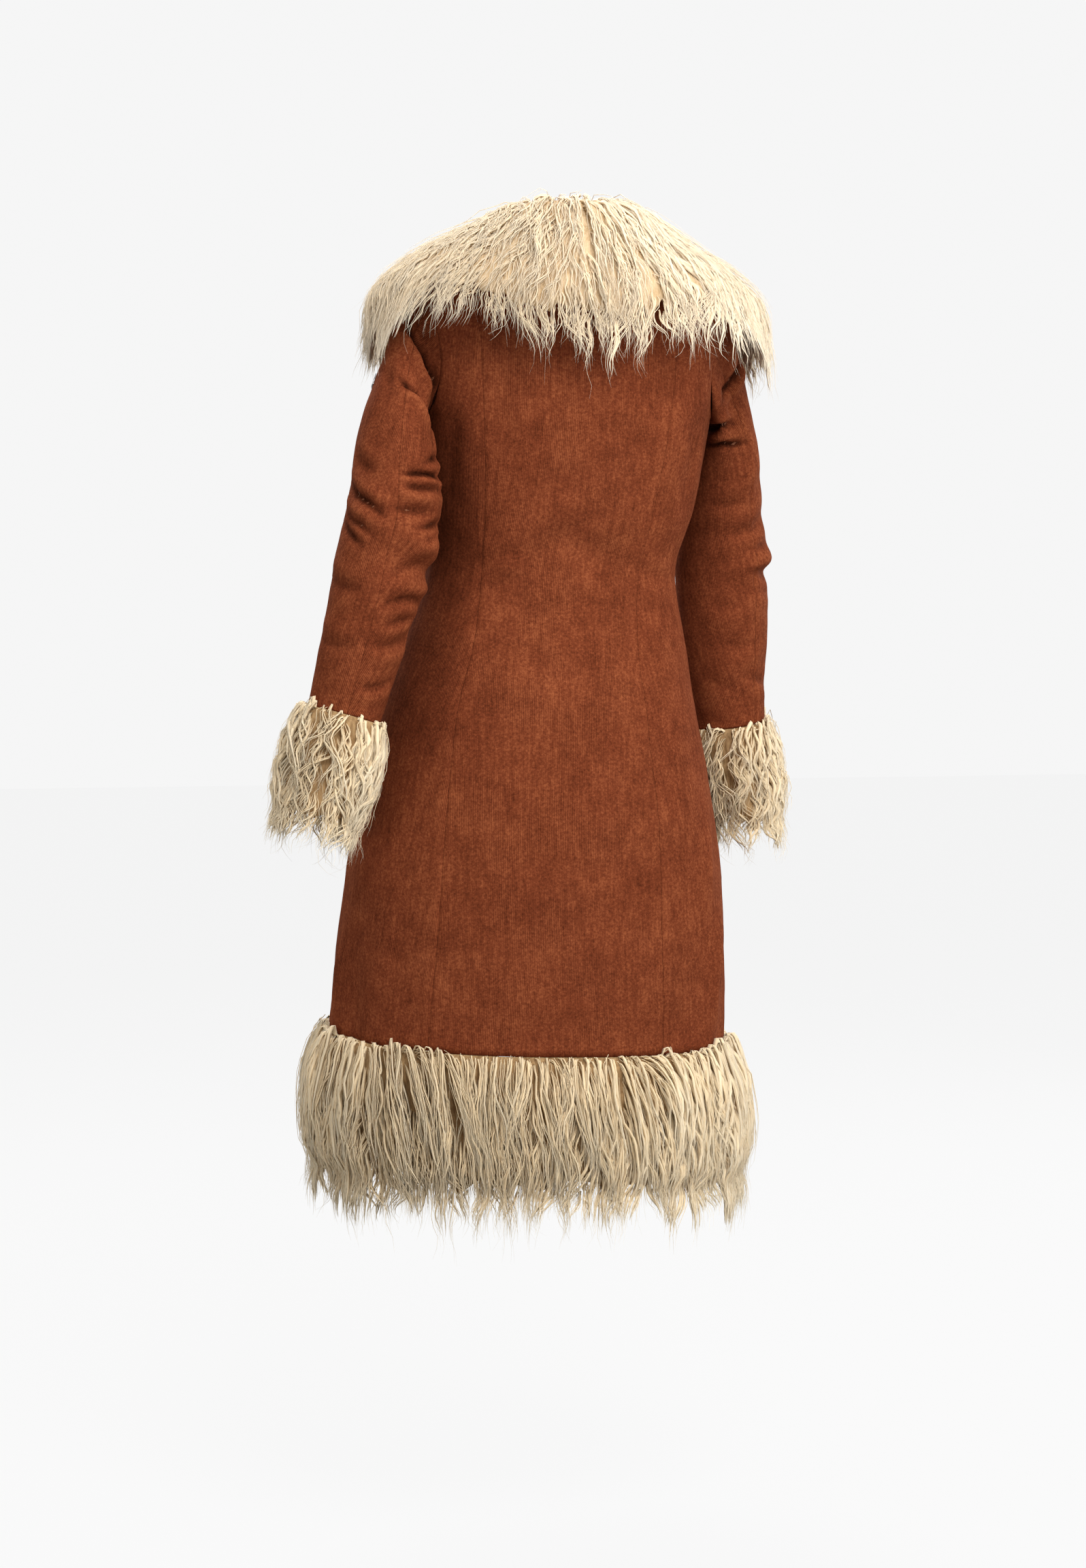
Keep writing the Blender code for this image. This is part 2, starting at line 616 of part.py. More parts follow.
def main():
    clear_scene()
    cloth = principled("rust_suede_cloth", RUST, 0.85, 0.0)
    pile = principled("cream_pile", CREAM, 0.9, 0.0)
    steel = principled("blank_steel", STEEL, 0.3, 1.0)
    add_body(cloth)
    add_sleeves(cloth)
    add_collar(pile)
    add_cuffs(pile)
    add_hem(pile)
    add_tab(steel)


main()
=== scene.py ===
import math

import bmesh
import bpy
import numpy as np
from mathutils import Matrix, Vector, kdtree


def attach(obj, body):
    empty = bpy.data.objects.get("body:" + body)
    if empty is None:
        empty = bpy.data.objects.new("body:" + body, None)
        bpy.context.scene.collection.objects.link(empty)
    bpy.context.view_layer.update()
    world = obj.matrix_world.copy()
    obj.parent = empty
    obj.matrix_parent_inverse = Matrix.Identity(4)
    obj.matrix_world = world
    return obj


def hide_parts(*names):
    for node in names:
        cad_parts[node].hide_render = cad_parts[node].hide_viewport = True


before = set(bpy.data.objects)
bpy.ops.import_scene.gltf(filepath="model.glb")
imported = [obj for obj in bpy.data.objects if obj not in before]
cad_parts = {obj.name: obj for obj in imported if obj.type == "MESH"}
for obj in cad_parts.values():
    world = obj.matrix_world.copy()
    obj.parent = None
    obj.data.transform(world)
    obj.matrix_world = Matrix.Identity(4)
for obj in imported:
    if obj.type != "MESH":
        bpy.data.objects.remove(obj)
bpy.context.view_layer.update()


def rgb(red, green, blue):  # screen colour 0-255 to the linear colour that shaders take
    levels = np.array([red, green, blue]) / 255.0
    linear = np.where(levels <= 0.04045, levels / 12.92, ((levels + 0.055) / 1.055) ** 2.4)
    return (*[float(v) for v in linear], 1.0)


def addObject(name, data):
    item = bpy.data.objects.new(name, data)
    bpy.context.scene.collection.objects.link(item)
    return item


class Wires:  # adds nodes to a tree and joins them
    def __init__(self, tree):
        self.tree = tree

    def feed(self, socket, value):
        if isinstance(value, bpy.types.NodeSocket):
            self.tree.links.new(value, socket)
        else:
            socket.default_value = value

    def dress(self, node, values):
        for key, value in values.items():
            self.feed(node.inputs[key], value)

    def add(self, kind, values=None, **props):
        node = self.tree.nodes.new(kind)
        for key, value in props.items():
            setattr(node, key, value)
        self.dress(node, values or {})
        return node

    def math(self, operation, *values):
        return self.add("ShaderNodeMath", dict(enumerate(values)), operation=operation).outputs[0]

    def plus(self, first, second):
        return self.math("ADD", first, second)

    def times(self, first, second):
        return self.math("MULTIPLY", first, second)

    def vector(self, operation, *values):
        return self.add("ShaderNodeVectorMath", dict(enumerate(values)), operation=operation).outputs["Vector"]

    def scaled(self, vector, factor):
        return self.add("ShaderNodeVectorMath", {0: vector, "Scale": factor}, operation="SCALE").outputs[0]

    def place(self):
        return self.add("ShaderNodeTexCoord").outputs["Object"]

    def grain(self):
        return self.add("ShaderNodeUVMap", uv_map="grain").outputs["UV"]

    def attribute(self, name, output="Fac"):
        return self.add("ShaderNodeAttribute", attribute_name=name).outputs[output]

    def noise(self, vector, scale, detail=2.0, rough=0.5):
        values = {"Vector": vector, "Scale": scale, "Detail": detail, "Roughness": rough}
        return self.add("ShaderNodeTexNoise", values).outputs[0]

    def fit(self, value, low, high, newLow=0.0, newHigh=1.0):
        values = {"Value": value, "From Min": low, "From Max": high, "To Min": newLow, "To Max": newHigh}
        return self.add("ShaderNodeMapRange", values).outputs[0]

    def grey(self, value):
        return self.add("ShaderNodeCombineXYZ", {0: value, 1: value, 2: value}).outputs[0]

    def mix(self, factor, first, second, blend="MIX"):
        values = {0: factor, 6: first, 7: second}
        return self.add("ShaderNodeMix", values, data_type="RGBA", blend_type=blend).outputs[2]

    def ramp(self, value, stops):
        node = self.add("ShaderNodeValToRGB", {"Fac": value})
        bar = node.color_ramp.elements
        while len(bar) < len(stops):
            bar.new(0.5)
        for stop, (place, colour) in zip(bar, stops):
            stop.position = place
            stop.color = colour
        return node.outputs["Color"]

    def bump(self, height, size, normal=None):  # size is strength and depth
        node = self.add("ShaderNodeBump", {"Strength": size[0], "Distance": size[1], "Height": height})
        if normal is not None:
            self.feed(node.inputs["Normal"], normal)
        return node.outputs["Normal"]


def newGroup(name, inputs, outputs):
    tree = bpy.data.node_groups.new(name, "ShaderNodeTree")
    for label, kind, value in inputs:
        socket = tree.interface.new_socket(name=label, in_out="INPUT", socket_type=kind)
        socket.default_value = value
    for label, kind in outputs:
        tree.interface.new_socket(name=label, in_out="OUTPUT", socket_type=kind)
    return tree, Wires(tree), tree.nodes.new("NodeGroupInput"), tree.nodes.new("NodeGroupOutput")


def newMaterial(name):
    material = bpy.data.materials.new(name)
    material.use_nodes = True
    tree = material.node_tree
    return material, Wires(tree), tree.nodes["Principled BSDF"]


white = (1, 1, 1, 1)
studio = {
    "target": (0.029, 0.0, -0.637),
    "azimuth": 172.0,
    "distance": 4.2,
    "cameraHeight": -0.22,
    "lens": 80.42,
    "sensor": 36.0,
    "farthest": 100.0,
    "floorHeight": -1.53,
    "floorHalf": 9.0,
    "floorColour": (0.05, 0.05, 0.05, 1),
    "floorRoughness": 0.9,
    "floorLook": 0.875,  # as the camera sees it
    "floorGlow": 0.2,  # as it lights the coat
    "backdrop": 0.92,  # what the camera sees behind the coat
    "ambient": 0.48,
    "lights": {  # place, size, watts
        "keyLight": ((-0.42, 1.85, 1.25), 1.6, 67.0),
        "rightLight": ((-2.5, 1.7, -0.8), 2.0, 46.0),
        "leftLight": ((2.5, 1.6, -1.5), 1.6, 36.0),
        "frontLight": ((0.5, -2.0, 1.2), 1.6, 68.0),
        "frontFill": ((-2.4, -1.9, -0.3), 2.0, 30.0),
        "topLight": ((0.0, 0.2, 2.6), 2.6, 10.0),
    },
}


def lookAt(item, place, target):
    item.location = place
    item.rotation_euler = (Vector(target) - Vector(place)).to_track_quat("-Z", "Y").to_euler()


def buildCamera(target):
    turn = math.radians(studio["azimuth"])
    place = target + studio["distance"] * Vector((math.sin(turn), -math.cos(turn), 0))
    place.z = studio["cameraHeight"]
    lens = bpy.data.cameras.new("photoCamera")
    lens.lens = studio["lens"]
    lens.sensor_width = studio["sensor"]
    lens.clip_end = studio["farthest"]
    camera = addObject("photoCamera", lens)
    lookAt(camera, place, target)
    bpy.context.scene.camera = camera


def buildLights(target):
    for name, (spot, size, watts) in studio["lights"].items():
        lamp = bpy.data.lights.new(name, "AREA")
        lamp.shape = "DISK"
        lamp.size = size
        lamp.energy = watts
        lookAt(addObject(name, lamp), spot, target)
    world = bpy.data.worlds.new("paleStudio")
    world.use_nodes = True
    w = Wires(world.node_tree)
    seen = w.add("ShaderNodeLightPath").outputs["Is Camera Ray"]
    level = w.add("ShaderNodeMix", {0: seen, 2: studio["ambient"], 3: studio["backdrop"]}).outputs[0]
    w.dress(world.node_tree.nodes["Background"], {"Color": white, "Strength": level})
    bpy.context.scene.world = world


def buildFloor():
    half, z = studio["floorHalf"], studio["floorHeight"]
    corners = [(-half, -half, z), (half, -half, z), (half, half, z), (-half, half, z)]
    sheet = bpy.data.meshes.new("studioFloor")
    sheet.from_pydata(corners, [], [(0, 1, 2, 3)])
    paint, w, skin = newMaterial("paleFloor")
    seen = w.add("ShaderNodeLightPath").outputs["Is Camera Ray"]
    w.dress(skin, {
        "Base Color": studio["floorColour"],
        "Roughness": studio["floorRoughness"],
        "Specular IOR Level": 0.0,
        "Emission Color": white,
        "Emission Strength": w.fit(seen, 0.0, 1.0, studio["floorGlow"], studio["floorLook"]),
    })
    sheet.materials.append(paint)
    addObject("studioFloor", sheet)


bpy.context.scene.view_settings.view_transform = "Standard"
buildCamera(Vector(studio["target"]))
buildLights(Vector(studio["target"]))
buildFloor()
print("studio ready")


nap = {
    "shares": {"blotch": 0.46, "patch": 0.40, "brushed": 0.45, "speckle": 1.15},  # in the shade
    "patchFiner": 3.6,
    "brush": (210.0, 22.0, 1.0),  # brush marks run down the grain
    "speckleHeight": 0.6,
    "brushHeight": 0.4,
}
suede = {
    "dark": rgb(72, 32, 17),
    "middle": rgb(110, 53, 31),
    "light": rgb(148, 82, 50),
    "stops": (0.12, 0.5, 0.88),
    "ribPitch": 0.0021,
    "ribWander": 0.0012,
    "ribShade": 0.13,
    "ribHeight": 0.35,
    "ribLeast": 0.2,  # where they are worn away
    # painted shade in crease troughs and painted highlight on their lips
    "paintedCreaseShade": 0.42,
    "hollow": (-0.66, -0.06, 0.28),  # painted shade in creases: a deep crease, a shallow one, and how dark the deep one is painted
    "roughness": (0.96, 0.82),  # dark to light
    "specular": 0.02,
    "sheen": 0.04,
    "sheenRoughness": 0.45,
    "sheenTint": rgb(228, 140, 92),
    "bump": (0.55, 0.0007),
}
clothInside = {
    "dark": rgb(82, 46, 30),
    "light": rgb(132, 84, 60),
    "blotch": 9.0,
    "threads": 3300.0,
    "threadShade": 0.1,
    "roughness": 0.92,
    "specular": 0.15,
    "bump": (0.4, 0.0004),
}
fur = {
    # darker roots are painted shade low in the pile
    "collarRoot": rgb(216, 186, 146),
    "collarBody": rgb(240, 220, 188),
    "collarTip": rgb(246, 232, 208),
    "collarGround": (rgb(192, 160, 118), rgb(232, 208, 172)),
    "collarStreak": (0.80, 1.10),
    # darker roots are painted shade low in the pile
    "hemRoot": rgb(180, 145, 102),
    "hemBody": rgb(246, 222, 182),
    "hemTip": rgb(250, 235, 206),
    # the hem ground: wool colour whose dark end is painted shade between the locks
    "hemGround": (rgb(112, 82, 52), rgb(188, 154, 110)),
    "hemStreak": (0.64, 1.14),
    "follow": 0.28,  # how far the locks are shaded like the pile as a whole
    "roughness": 0.62,
    "specular": 0.2,
    "sheen": 0.2,
    "sheenRoughness": 0.5,
    "bump": (0.4, 0.0006),
}
woolGround = {
    "drawn": (1.0, 1.0, 0.25),
    "fuzz": 260.0,
    "clump": 60.0,
    "fuzzShade": 0.7,
    "clumpShade": 0.5,
    "roughness": 0.95,
    "specular": 0.1,
    "bump": (0.9, 0.003),
}
tabFinish = {
    "colour": rgb(190, 190, 192),
    "roughness": (0.22, 0.4),
    "brush": (120.0, 120.0, 2600.0),
    "bump": (0.25, 0.0001),
}


def makeNapGroup():
    # brushed pile of a short-napped cloth: blotches, brush marks and a fine speckle
    tree, w, given, made = newGroup(
        "brushedNap",
        [
            ("Grain", "NodeSocketVector", (0, 0, 0)),
            ("Blotch Scale", "NodeSocketFloat", 13.0),
            ("Speckle Scale", "NodeSocketFloat", 330.0),
        ],
        [("Shade", "NodeSocketFloat"), ("Height", "NodeSocketFloat")],
    )
    place, blotches = w.place(), given.outputs["Blotch Scale"]
    layers = {
        "blotch": w.noise(place, blotches, 5.0, 0.62),
        "patch": w.noise(place, w.times(blotches, nap["patchFiner"]), 4.0, 0.6),
        "brushed": w.noise(w.vector("MULTIPLY", given.outputs["Grain"], nap["brush"]), 1.0, 3.0, 0.55),
        "speckle": w.noise(place, given.outputs["Speckle Scale"], 3.0, 0.75),
    }
    shade = 0.5
    for layer, share in nap["shares"].items():
        shade = w.plus(w.times(w.math("SUBTRACT", layers[layer], 0.5), share), shade)
    speckles = w.times(layers["speckle"], nap["speckleHeight"])
    w.dress(made, {"Shade": shade, "Height": w.plus(speckles, w.times(layers["brushed"], nap["brushHeight"]))})
    return tree


def makeSuede(brushedNap):
    material, w, skin = newMaterial("rustSuede")
    grain, place = w.grain(), w.place()
    brushed = w.add("ShaderNodeGroup", {"Grain": grain}, node_tree=brushedNap).outputs
    # fine cords along the grain, worn away in places
    across = w.add("ShaderNodeSeparateXYZ", {"Vector": grain}).outputs["X"]
    across = w.plus(across, w.times(w.noise(place, 22.0), suede["ribWander"]))
    cords = w.math("SINE", w.times(across, 2 * math.pi / suede["ribPitch"]))
    worn = w.fit(w.noise(place, 17.0, 3.0), 0.42, 0.62)
    cords = w.times(cords, w.plus(w.times(worn, 1 - suede["ribLeast"]), suede["ribLeast"]))
    # painted shade and highlights from creases, seam rolls and where arm meets body, with the darker seam line
    paintedShadeAndSeamLine = w.attribute("paintedShadeAndSeamLine")
    tone = w.plus(brushed["Shade"], w.times(cords, suede["ribShade"]))
    tone = w.plus(tone, w.times(paintedShadeAndSeamLine, suede["paintedCreaseShade"]))
    colour = w.ramp(tone, list(zip(suede["stops"], (suede["dark"], suede["middle"], suede["light"]))))
    # deep creases painted darker still
    deep, shallow, darkest = suede["hollow"]
    height = w.plus(brushed["Height"], w.times(cords, suede["ribHeight"]))
    w.dress(skin, {
        "Base Color": w.mix(1.0, colour, w.grey(w.fit(paintedShadeAndSeamLine, deep, shallow, darkest, 1.0)), "MULTIPLY"),
        "Roughness": w.fit(brushed["Shade"], 0.2, 0.8, *suede["roughness"]),
        "Specular IOR Level": suede["specular"],
        "Sheen Weight": suede["sheen"],
        "Sheen Roughness": suede["sheenRoughness"],
        "Sheen Tint": suede["sheenTint"],
        "Normal": w.bump(height, suede["bump"]),
    })
    return material


def makeClothBack(brushedNap):
    material, w, skin = newMaterial("clothBack")
    grain, fine = w.grain(), clothInside["threads"]
    values = {"Grain": grain, "Blotch Scale": clothInside["blotch"]}
    brushed = w.add("ShaderNodeGroup", values, node_tree=brushedNap).outputs
    threads = w.add("ShaderNodeSeparateXYZ", {"Vector": w.vector("MULTIPLY", grain, (fine, fine, 1.0))}).outputs
    weave = w.times(w.math("SINE", threads["X"]), w.math("SINE", threads["Y"]))
    tone = w.plus(brushed["Shade"], w.times(weave, clothInside["threadShade"]))
    w.dress(skin, {
        "Base Color": w.ramp(tone, [(0.15, clothInside["dark"]), (0.85, clothInside["light"])]),
        "Roughness": clothInside["roughness"],
        "Specular IOR Level": clothInside["specular"],
        "Normal": w.bump(weave, clothInside["bump"]),
    })
    return material


def makeFibreGroup():
    # fibres running along a lock, from its root to its tip
    tree, w, given, made = newGroup(
        "lockFibres",
        [
            ("Root", "NodeSocketColor", fur["hemRoot"]),
            ("Body", "NodeSocketColor", fur["hemBody"]),
            ("Tip", "NodeSocketColor", fur["hemTip"]),
            ("Streak Low", "NodeSocketFloat", 0.7),
            ("Streak High", "NodeSocketFloat", 1.1),
        ],
        [("Color", "NodeSocketColor"), ("Height", "NodeSocketFloat")],
    )
    toTip, across, tint = (w.attribute(name) for name in ("along", "across", "tint"))
    line = w.add("ShaderNodeCombineXYZ", {  # stretched along the lock, and another place for each tint
        0: w.plus(w.times(across, 2.6), w.times(tint, 61.0)),
        1: w.times(toTip, 3.0),
        2: w.times(tint, 17.0),
    }).outputs[0]
    fibres = w.noise(line, 2.2, 3.0, 0.6)
    # painted shade: darker towards the root
    colour = w.mix(w.fit(toTip, 0.0, 0.42), given.outputs["Root"], given.outputs["Body"])
    colour = w.mix(w.fit(toTip, 0.55, 1.0), colour, given.outputs["Tip"])
    streak = w.fit(fibres, 0.3, 0.72, given.outputs["Streak Low"], given.outputs["Streak High"])
    shade = w.times(streak, w.fit(tint, 0.0, 1.0, 0.9, 1.08))
    w.dress(made, {"Color": w.mix(1.0, colour, w.grey(shade), "MULTIPLY"), "Height": fibres})
    return tree


def makeFur(name, fibres, kind):
    material, w, skin = newMaterial(name)
    low, high = fur[kind + "Streak"]
    values = {label: fur[kind + label] for label in ("Root", "Body", "Tip")}
    values.update({"Streak Low": low, "Streak High": high})
    lock = w.add("ShaderNodeGroup", values, node_tree=fibres).outputs
    own = w.scaled(w.add("ShaderNodeNewGeometry").outputs["Normal"], 1 - fur["follow"])
    common = w.scaled(w.attribute("face", "Vector"), fur["follow"])
    soft = w.vector("NORMALIZE", w.vector("ADD", own, common))
    w.dress(skin, {
        "Base Color": lock["Color"],
        "Roughness": fur["roughness"],
        "Specular IOR Level": fur["specular"],
        "Sheen Weight": fur["sheen"],
        "Sheen Roughness": fur["sheenRoughness"],
        "Normal": w.bump(lock["Height"], fur["bump"], soft),
    })
    return material


def makeUndercoat(name, tones):
    material, w, skin = newMaterial(name)
    drawn = w.vector("MULTIPLY", w.place(), woolGround["drawn"])
    fuzz = w.noise(drawn, woolGround["fuzz"], 4.0, 0.65)
    clump = w.noise(drawn, woolGround["clump"], 3.0)
    tone = w.plus(w.times(fuzz, woolGround["fuzzShade"]), w.times(clump, woolGround["clumpShade"]))
    w.dress(skin, {
        "Base Color": w.ramp(tone, [(0.4, tones[0]), (0.8, tones[1])]),
        "Roughness": woolGround["roughness"],
        "Specular IOR Level": woolGround["specular"],
        "Normal": w.bump(fuzz, woolGround["bump"]),
    })
    return material


def makeTabSteel():
    material, w, skin = newMaterial("satinSteel")
    brush = w.noise(w.vector("MULTIPLY", w.place(), tabFinish["brush"]), 1.0, 3.0)
    w.dress(skin, {
        "Base Color": tabFinish["colour"],
        "Metallic": 1.0,
        "Roughness": w.fit(brush, 0.3, 0.7, *tabFinish["roughness"]),
        "Normal": w.bump(brush, tabFinish["bump"]),
    })
    return material


brushedNap = makeNapGroup()
rustSuede = makeSuede(brushedNap)
clothBack = makeClothBack(brushedNap)
lockFibres = makeFibreGroup()
pileFinish = {}
for kind in ("collar", "hem"):
    locks = makeFur(kind + "Fur", lockFibres, kind)
    pileFinish[kind] = (locks, makeUndercoat(kind + "Undercoat", fur[kind + "Ground"]))
satinSteel = makeTabSteel()
print("finishes ready")


# the coat's pattern: the same sections as the solids
bodyCut = {
    "columns": ("height", "halfWidth", "back", "front", "sway", "seam", "part", "lift", "tilt"),
    "sections": np.array([
        (-0.9360, 0.2380, 0.1920, 0.1800, 0.0490, 0.1390, 0.0110, 0.010, 0.000),
        (-0.8175, 0.2335, 0.1830, 0.1670, 0.0430, 0.1330, 0.0080, 0.008, 0.000),
        (-0.6765, 0.2165, 0.1690, 0.1480, 0.0380, 0.1260, 0.0050, 0.005, 0.000),
        (-0.5400, 0.1885, 0.1450, 0.1320, 0.0355, 0.1115, 0.0030, 0.002, 0.000),
        (-0.4650, 0.1705, 0.1230, 0.1210, 0.0285, 0.0980, 0.0020, 0.000, 0.000),
        (-0.3810, 0.1490, 0.1030, 0.1130, 0.0205, 0.0935, 0.0020, 0.000, 0.000),
        (-0.3075, 0.1620, 0.1120, 0.1240, 0.0107, 0.1000, 0.0020, 0.000, 0.000),
        (-0.2000, 0.1730, 0.1210, 0.1290, 0.0020, 0.1100, 0.0020, 0.000, 0.000),
        (-0.1200, 0.1810, 0.1150, 0.1120, 0.0000, 0.1150, 0.0030, 0.003, 0.000),
        (-0.0500, 0.1890, 0.0960, 0.0900, 0.0000, 0.1150, 0.0040, 0.009, 0.006),
        (-0.0220, 0.1400, 0.0880, 0.0850, 0.0000, 0.0950, 0.0050, 0.007, 0.014),
        (0.0100, 0.0800, 0.0740, 0.0800, 0.0000, 0.0560, 0.0060, 0.000, 0.026),
    ]),
    "roundness": 2.3,
    "underarm": 7,  # sections, counted from the hem
    "shoulder": 9,
    "neckline": 11,
    "armholeBack": {"left": 30.0, "right": 22.0},
    "armholeFront": 26.0,
    "armholeSquareness": 2.4,
    "folds": [  # top, bottom, top angle, bottom angle, width, depth, runs out at the hem
        (2.1, 0.9, 151.0, 148.0, 0.024, 0.005, False),
        (1.6, 0.0, 158.0, 142.0, 0.026, 0.006, True),
        (1.3, 0.0, 170.0, 158.0, 0.026, -0.005, True),
        (1.2, 0.0, 6.0, 10.0, 0.018, 0.006, True),
        (1.5, 0.0, 20.0, 24.0, 0.022, -0.005, True),
        (2.4, 0.0, -40.0, -48.0, 0.030, 0.007, True),
        (2.0, 0.0, -62.0, -66.0, 0.026, -0.006, True),
        (2.4, 0.0, 221.0, 229.0, 0.030, 0.007, True),
        (2.0, 0.0, 244.0, 247.0, 0.026, -0.006, True),
        (6.4, 4.6, 62.0, 124.0, 0.030, -0.004, False),
        (6.0, 4.2, 40.0, 100.0, 0.028, 0.004, False),
    ],
}
sleeveCut = {
    "columns": ("height", "x", "y", "halfWidth", "halfDepth"),
    "left": np.array([
        (-0.262, 0.2150, 0.080, 0.0490, 0.056),
        (-0.316, 0.2185, 0.090, 0.0560, 0.060),
        (-0.366, 0.2320, 0.098, 0.0545, 0.060),
        (-0.403, 0.2405, 0.103, 0.0525, 0.058),
        (-0.463, 0.2565, 0.110, 0.0490, 0.054),
        (-0.504, 0.2680, 0.114, 0.0455, 0.050),
        (-0.542, 0.2790, 0.118, 0.0430, 0.046),
    ]),
    "right": np.array([
        (-0.262, -0.2030, -0.078, 0.0440, 0.056),
        (-0.316, -0.2060, -0.092, 0.0520, 0.060),
        (-0.366, -0.2070, -0.100, 0.0565, 0.060),
        (-0.403, -0.2085, -0.103, 0.0565, 0.059),
        (-0.463, -0.2100, -0.107, 0.0555, 0.0565),
        (-0.520, -0.2135, -0.110, 0.0510, 0.0515),
        (-0.575, -0.2200, -0.113, 0.0455, 0.047),
    ]),
    "backSeam": {"left": 90.0, "right": 54.0},
    "frontSeam": {"left": 270.0, "right": 234.0},
    "pitch": {"left": 36.0, "right": -36.0},
    "capStart": 0.085,  # how far the cap runs on from the armhole
    "capEnd": 0.20,  # and how far up the arm pulls it straight
    "capTop": 0.45,  # the part of the armhole that the cap leaves flat
    "capLow": (0.9, 0.5),  # below that it leaves outward and downward
    "folds": {  # station, angle, spread, run, width, depth
        "left": [
            (0.42, 118.0, 42.0, 0.36, 0.24, -0.006),
            (0.85, 112.0, 50.0, 0.26, 0.26, 0.005),
            (2.05, 140.0, 50.0, 0.10, 0.22, -0.005),
            (2.50, 135.0, 55.0, 0.05, 0.24, 0.007),
            (3.00, 150.0, 50.0, -0.15, 0.26, -0.004),
            (3.70, 150.0, 48.0, -0.25, 0.26, 0.006),
            (4.60, 155.0, 50.0, -0.30, 0.28, -0.004),
        ],
        "right": [
            (0.50, 62.0, 42.0, 0.26, 0.24, -0.005),
            (0.98, 58.0, 45.0, 0.15, 0.26, 0.005),
            (2.10, 40.0, 50.0, 0.15, 0.26, -0.006),
            (3.10, 30.0, 55.0, 0.10, 0.28, 0.006),
            (3.70, 25.0, 50.0, 0.10, 0.26, -0.006),
        ],
    },
}
seamGap = 0.0003
sewnGap = 0.00002  # panels meet at a sewn seam
clothWall = 0.0022
sideSign = {"left": 1.0, "right": -1.0}


def unit(vectors):
    return vectors / np.maximum(np.linalg.norm(vectors, axis=-1, keepdims=True), 1e-12)


def stack(x, y, z):
    return np.stack(np.broadcast_arrays(x, y, z), axis=-1)


def signedPower(value, power):
    return np.sign(value) * np.abs(value) ** power


def bell(distance, width):
    return np.exp(-((distance / width) ** 2))


def turnFrom(angle, middle):  # the angle between them, from minus to plus half a turn
    return np.mod(angle - middle + math.pi, 2 * math.pi) - math.pi


def runAlong(points, axis):  # distance along a grid from its first row or column
    step = np.linalg.norm(np.diff(points, axis=axis), axis=-1)
    start = np.zeros_like(np.take(step, [0], axis=axis))
    return np.concatenate([start, np.cumsum(step, axis=axis)], axis=axis)


def hermite(start, leave, end, arrive, u):
    return (
        (2 * u**3 - 3 * u**2 + 1) * start
        + (u**3 - 2 * u**2 + u) * leave
        + (3 * u**2 - 2 * u**3) * end
        + (u**3 - u**2) * arrive
    )


def along(values, station):  # smooth curve through a column of sections
    station = np.clip(station, 0, len(values) - 1)
    row = np.minimum(station.astype(int), len(values) - 2)
    padded = np.concatenate([[2 * values[0] - values[1]], values, [2 * values[-1] - values[-2]]])
    before, start, end, after = (padded[row + k] for k in range(4))
    return hermite(start, (end - before) / 2, end, (after - start) / 2, station - row)


def bodyAt(column, station):
    return along(bodyCut["sections"][:, bodyCut["columns"].index(column)], station)


def armAt(side, column, station):
    return along(sleeveCut[side][:, sleeveCut["columns"].index(column)], station)


def bodyFolds(angle, station):
    push = np.zeros(np.broadcast(angle, station).shape)
    radius = bodyAt("halfWidth", station)
    for top, bottom, topAngle, bottomAngle, width, depth, openHem in bodyCut["folds"]:
        share = (station - bottom) / (top - bottom)
        middle = np.radians(bottomAngle + (topAngle - bottomAngle) * share)
        fade = np.clip(np.where(share < 0.5, 1.0, 2 - 2 * share), 0, 1)
        if not openHem:
            fade = np.minimum(fade, np.clip(2 * share, 0, 1))
        fade = np.where((share < 0) | (share > 1), 0, fade)
        push += depth * np.sin(fade * math.pi / 2) ** 2 * bell(turnFrom(angle, middle) * radius, width)
    return push


def oval(angle):  # a squared oval: shares to the left and to the back
    power = 2 / bodyCut["roundness"]
    return signedPower(np.cos(angle), power), signedPower(np.sin(angle), power)


def bodyPoint(angle, station):
    across, deep = oval(angle)
    push = bodyFolds(angle, station)
    depth = np.where(deep > 0, bodyAt("back", station), bodyAt("front", station))
    x = bodyAt("sway", station) + (bodyAt("halfWidth", station) + push) * across
    y = (depth + push) * deep
    z = bodyAt("height", station) + bodyAt("lift", station) * np.cos(angle)
    return stack(x, y, z + bodyAt("tilt", station) * np.sin(angle))


def bodySlopes(angle, station):
    step = 0.04
    low = np.clip(station - step, 0, bodyCut["neckline"])
    high = np.clip(station + step, 0, bodyCut["neckline"])
    around = bodyPoint(angle + step, station) - bodyPoint(angle - step, station)
    return around / (2 * step), unit(bodyPoint(angle, high) - bodyPoint(angle, low))


def bodyNormal(angle, station):
    around, upward = bodySlopes(angle, station)
    return unit(np.cross(around, upward))


def armholeAngle(station, reach):
    q = np.clip((station - bodyCut["underarm"]) / (bodyCut["shoulder"] - bodyCut["underarm"]), 0, 1)
    power = bodyCut["armholeSquareness"]
    return np.radians(reach) * (1 - np.abs(2 * q - 1) ** power) ** (1 / power)


def princessAngle(station):
    share = bodyAt("seam", station) / bodyAt("halfWidth", station)
    return np.arccos(np.clip(share, 0, 1) ** (bodyCut["roundness"] / 2))


def frontAngle(station):
    share = bodyAt("part", station) / bodyAt("halfWidth", station)
    return -np.arccos(share ** (bodyCut["roundness"] / 2))


def mirrored(edge, side):
    return edge if side == "left" else lambda station: math.pi - edge(station)


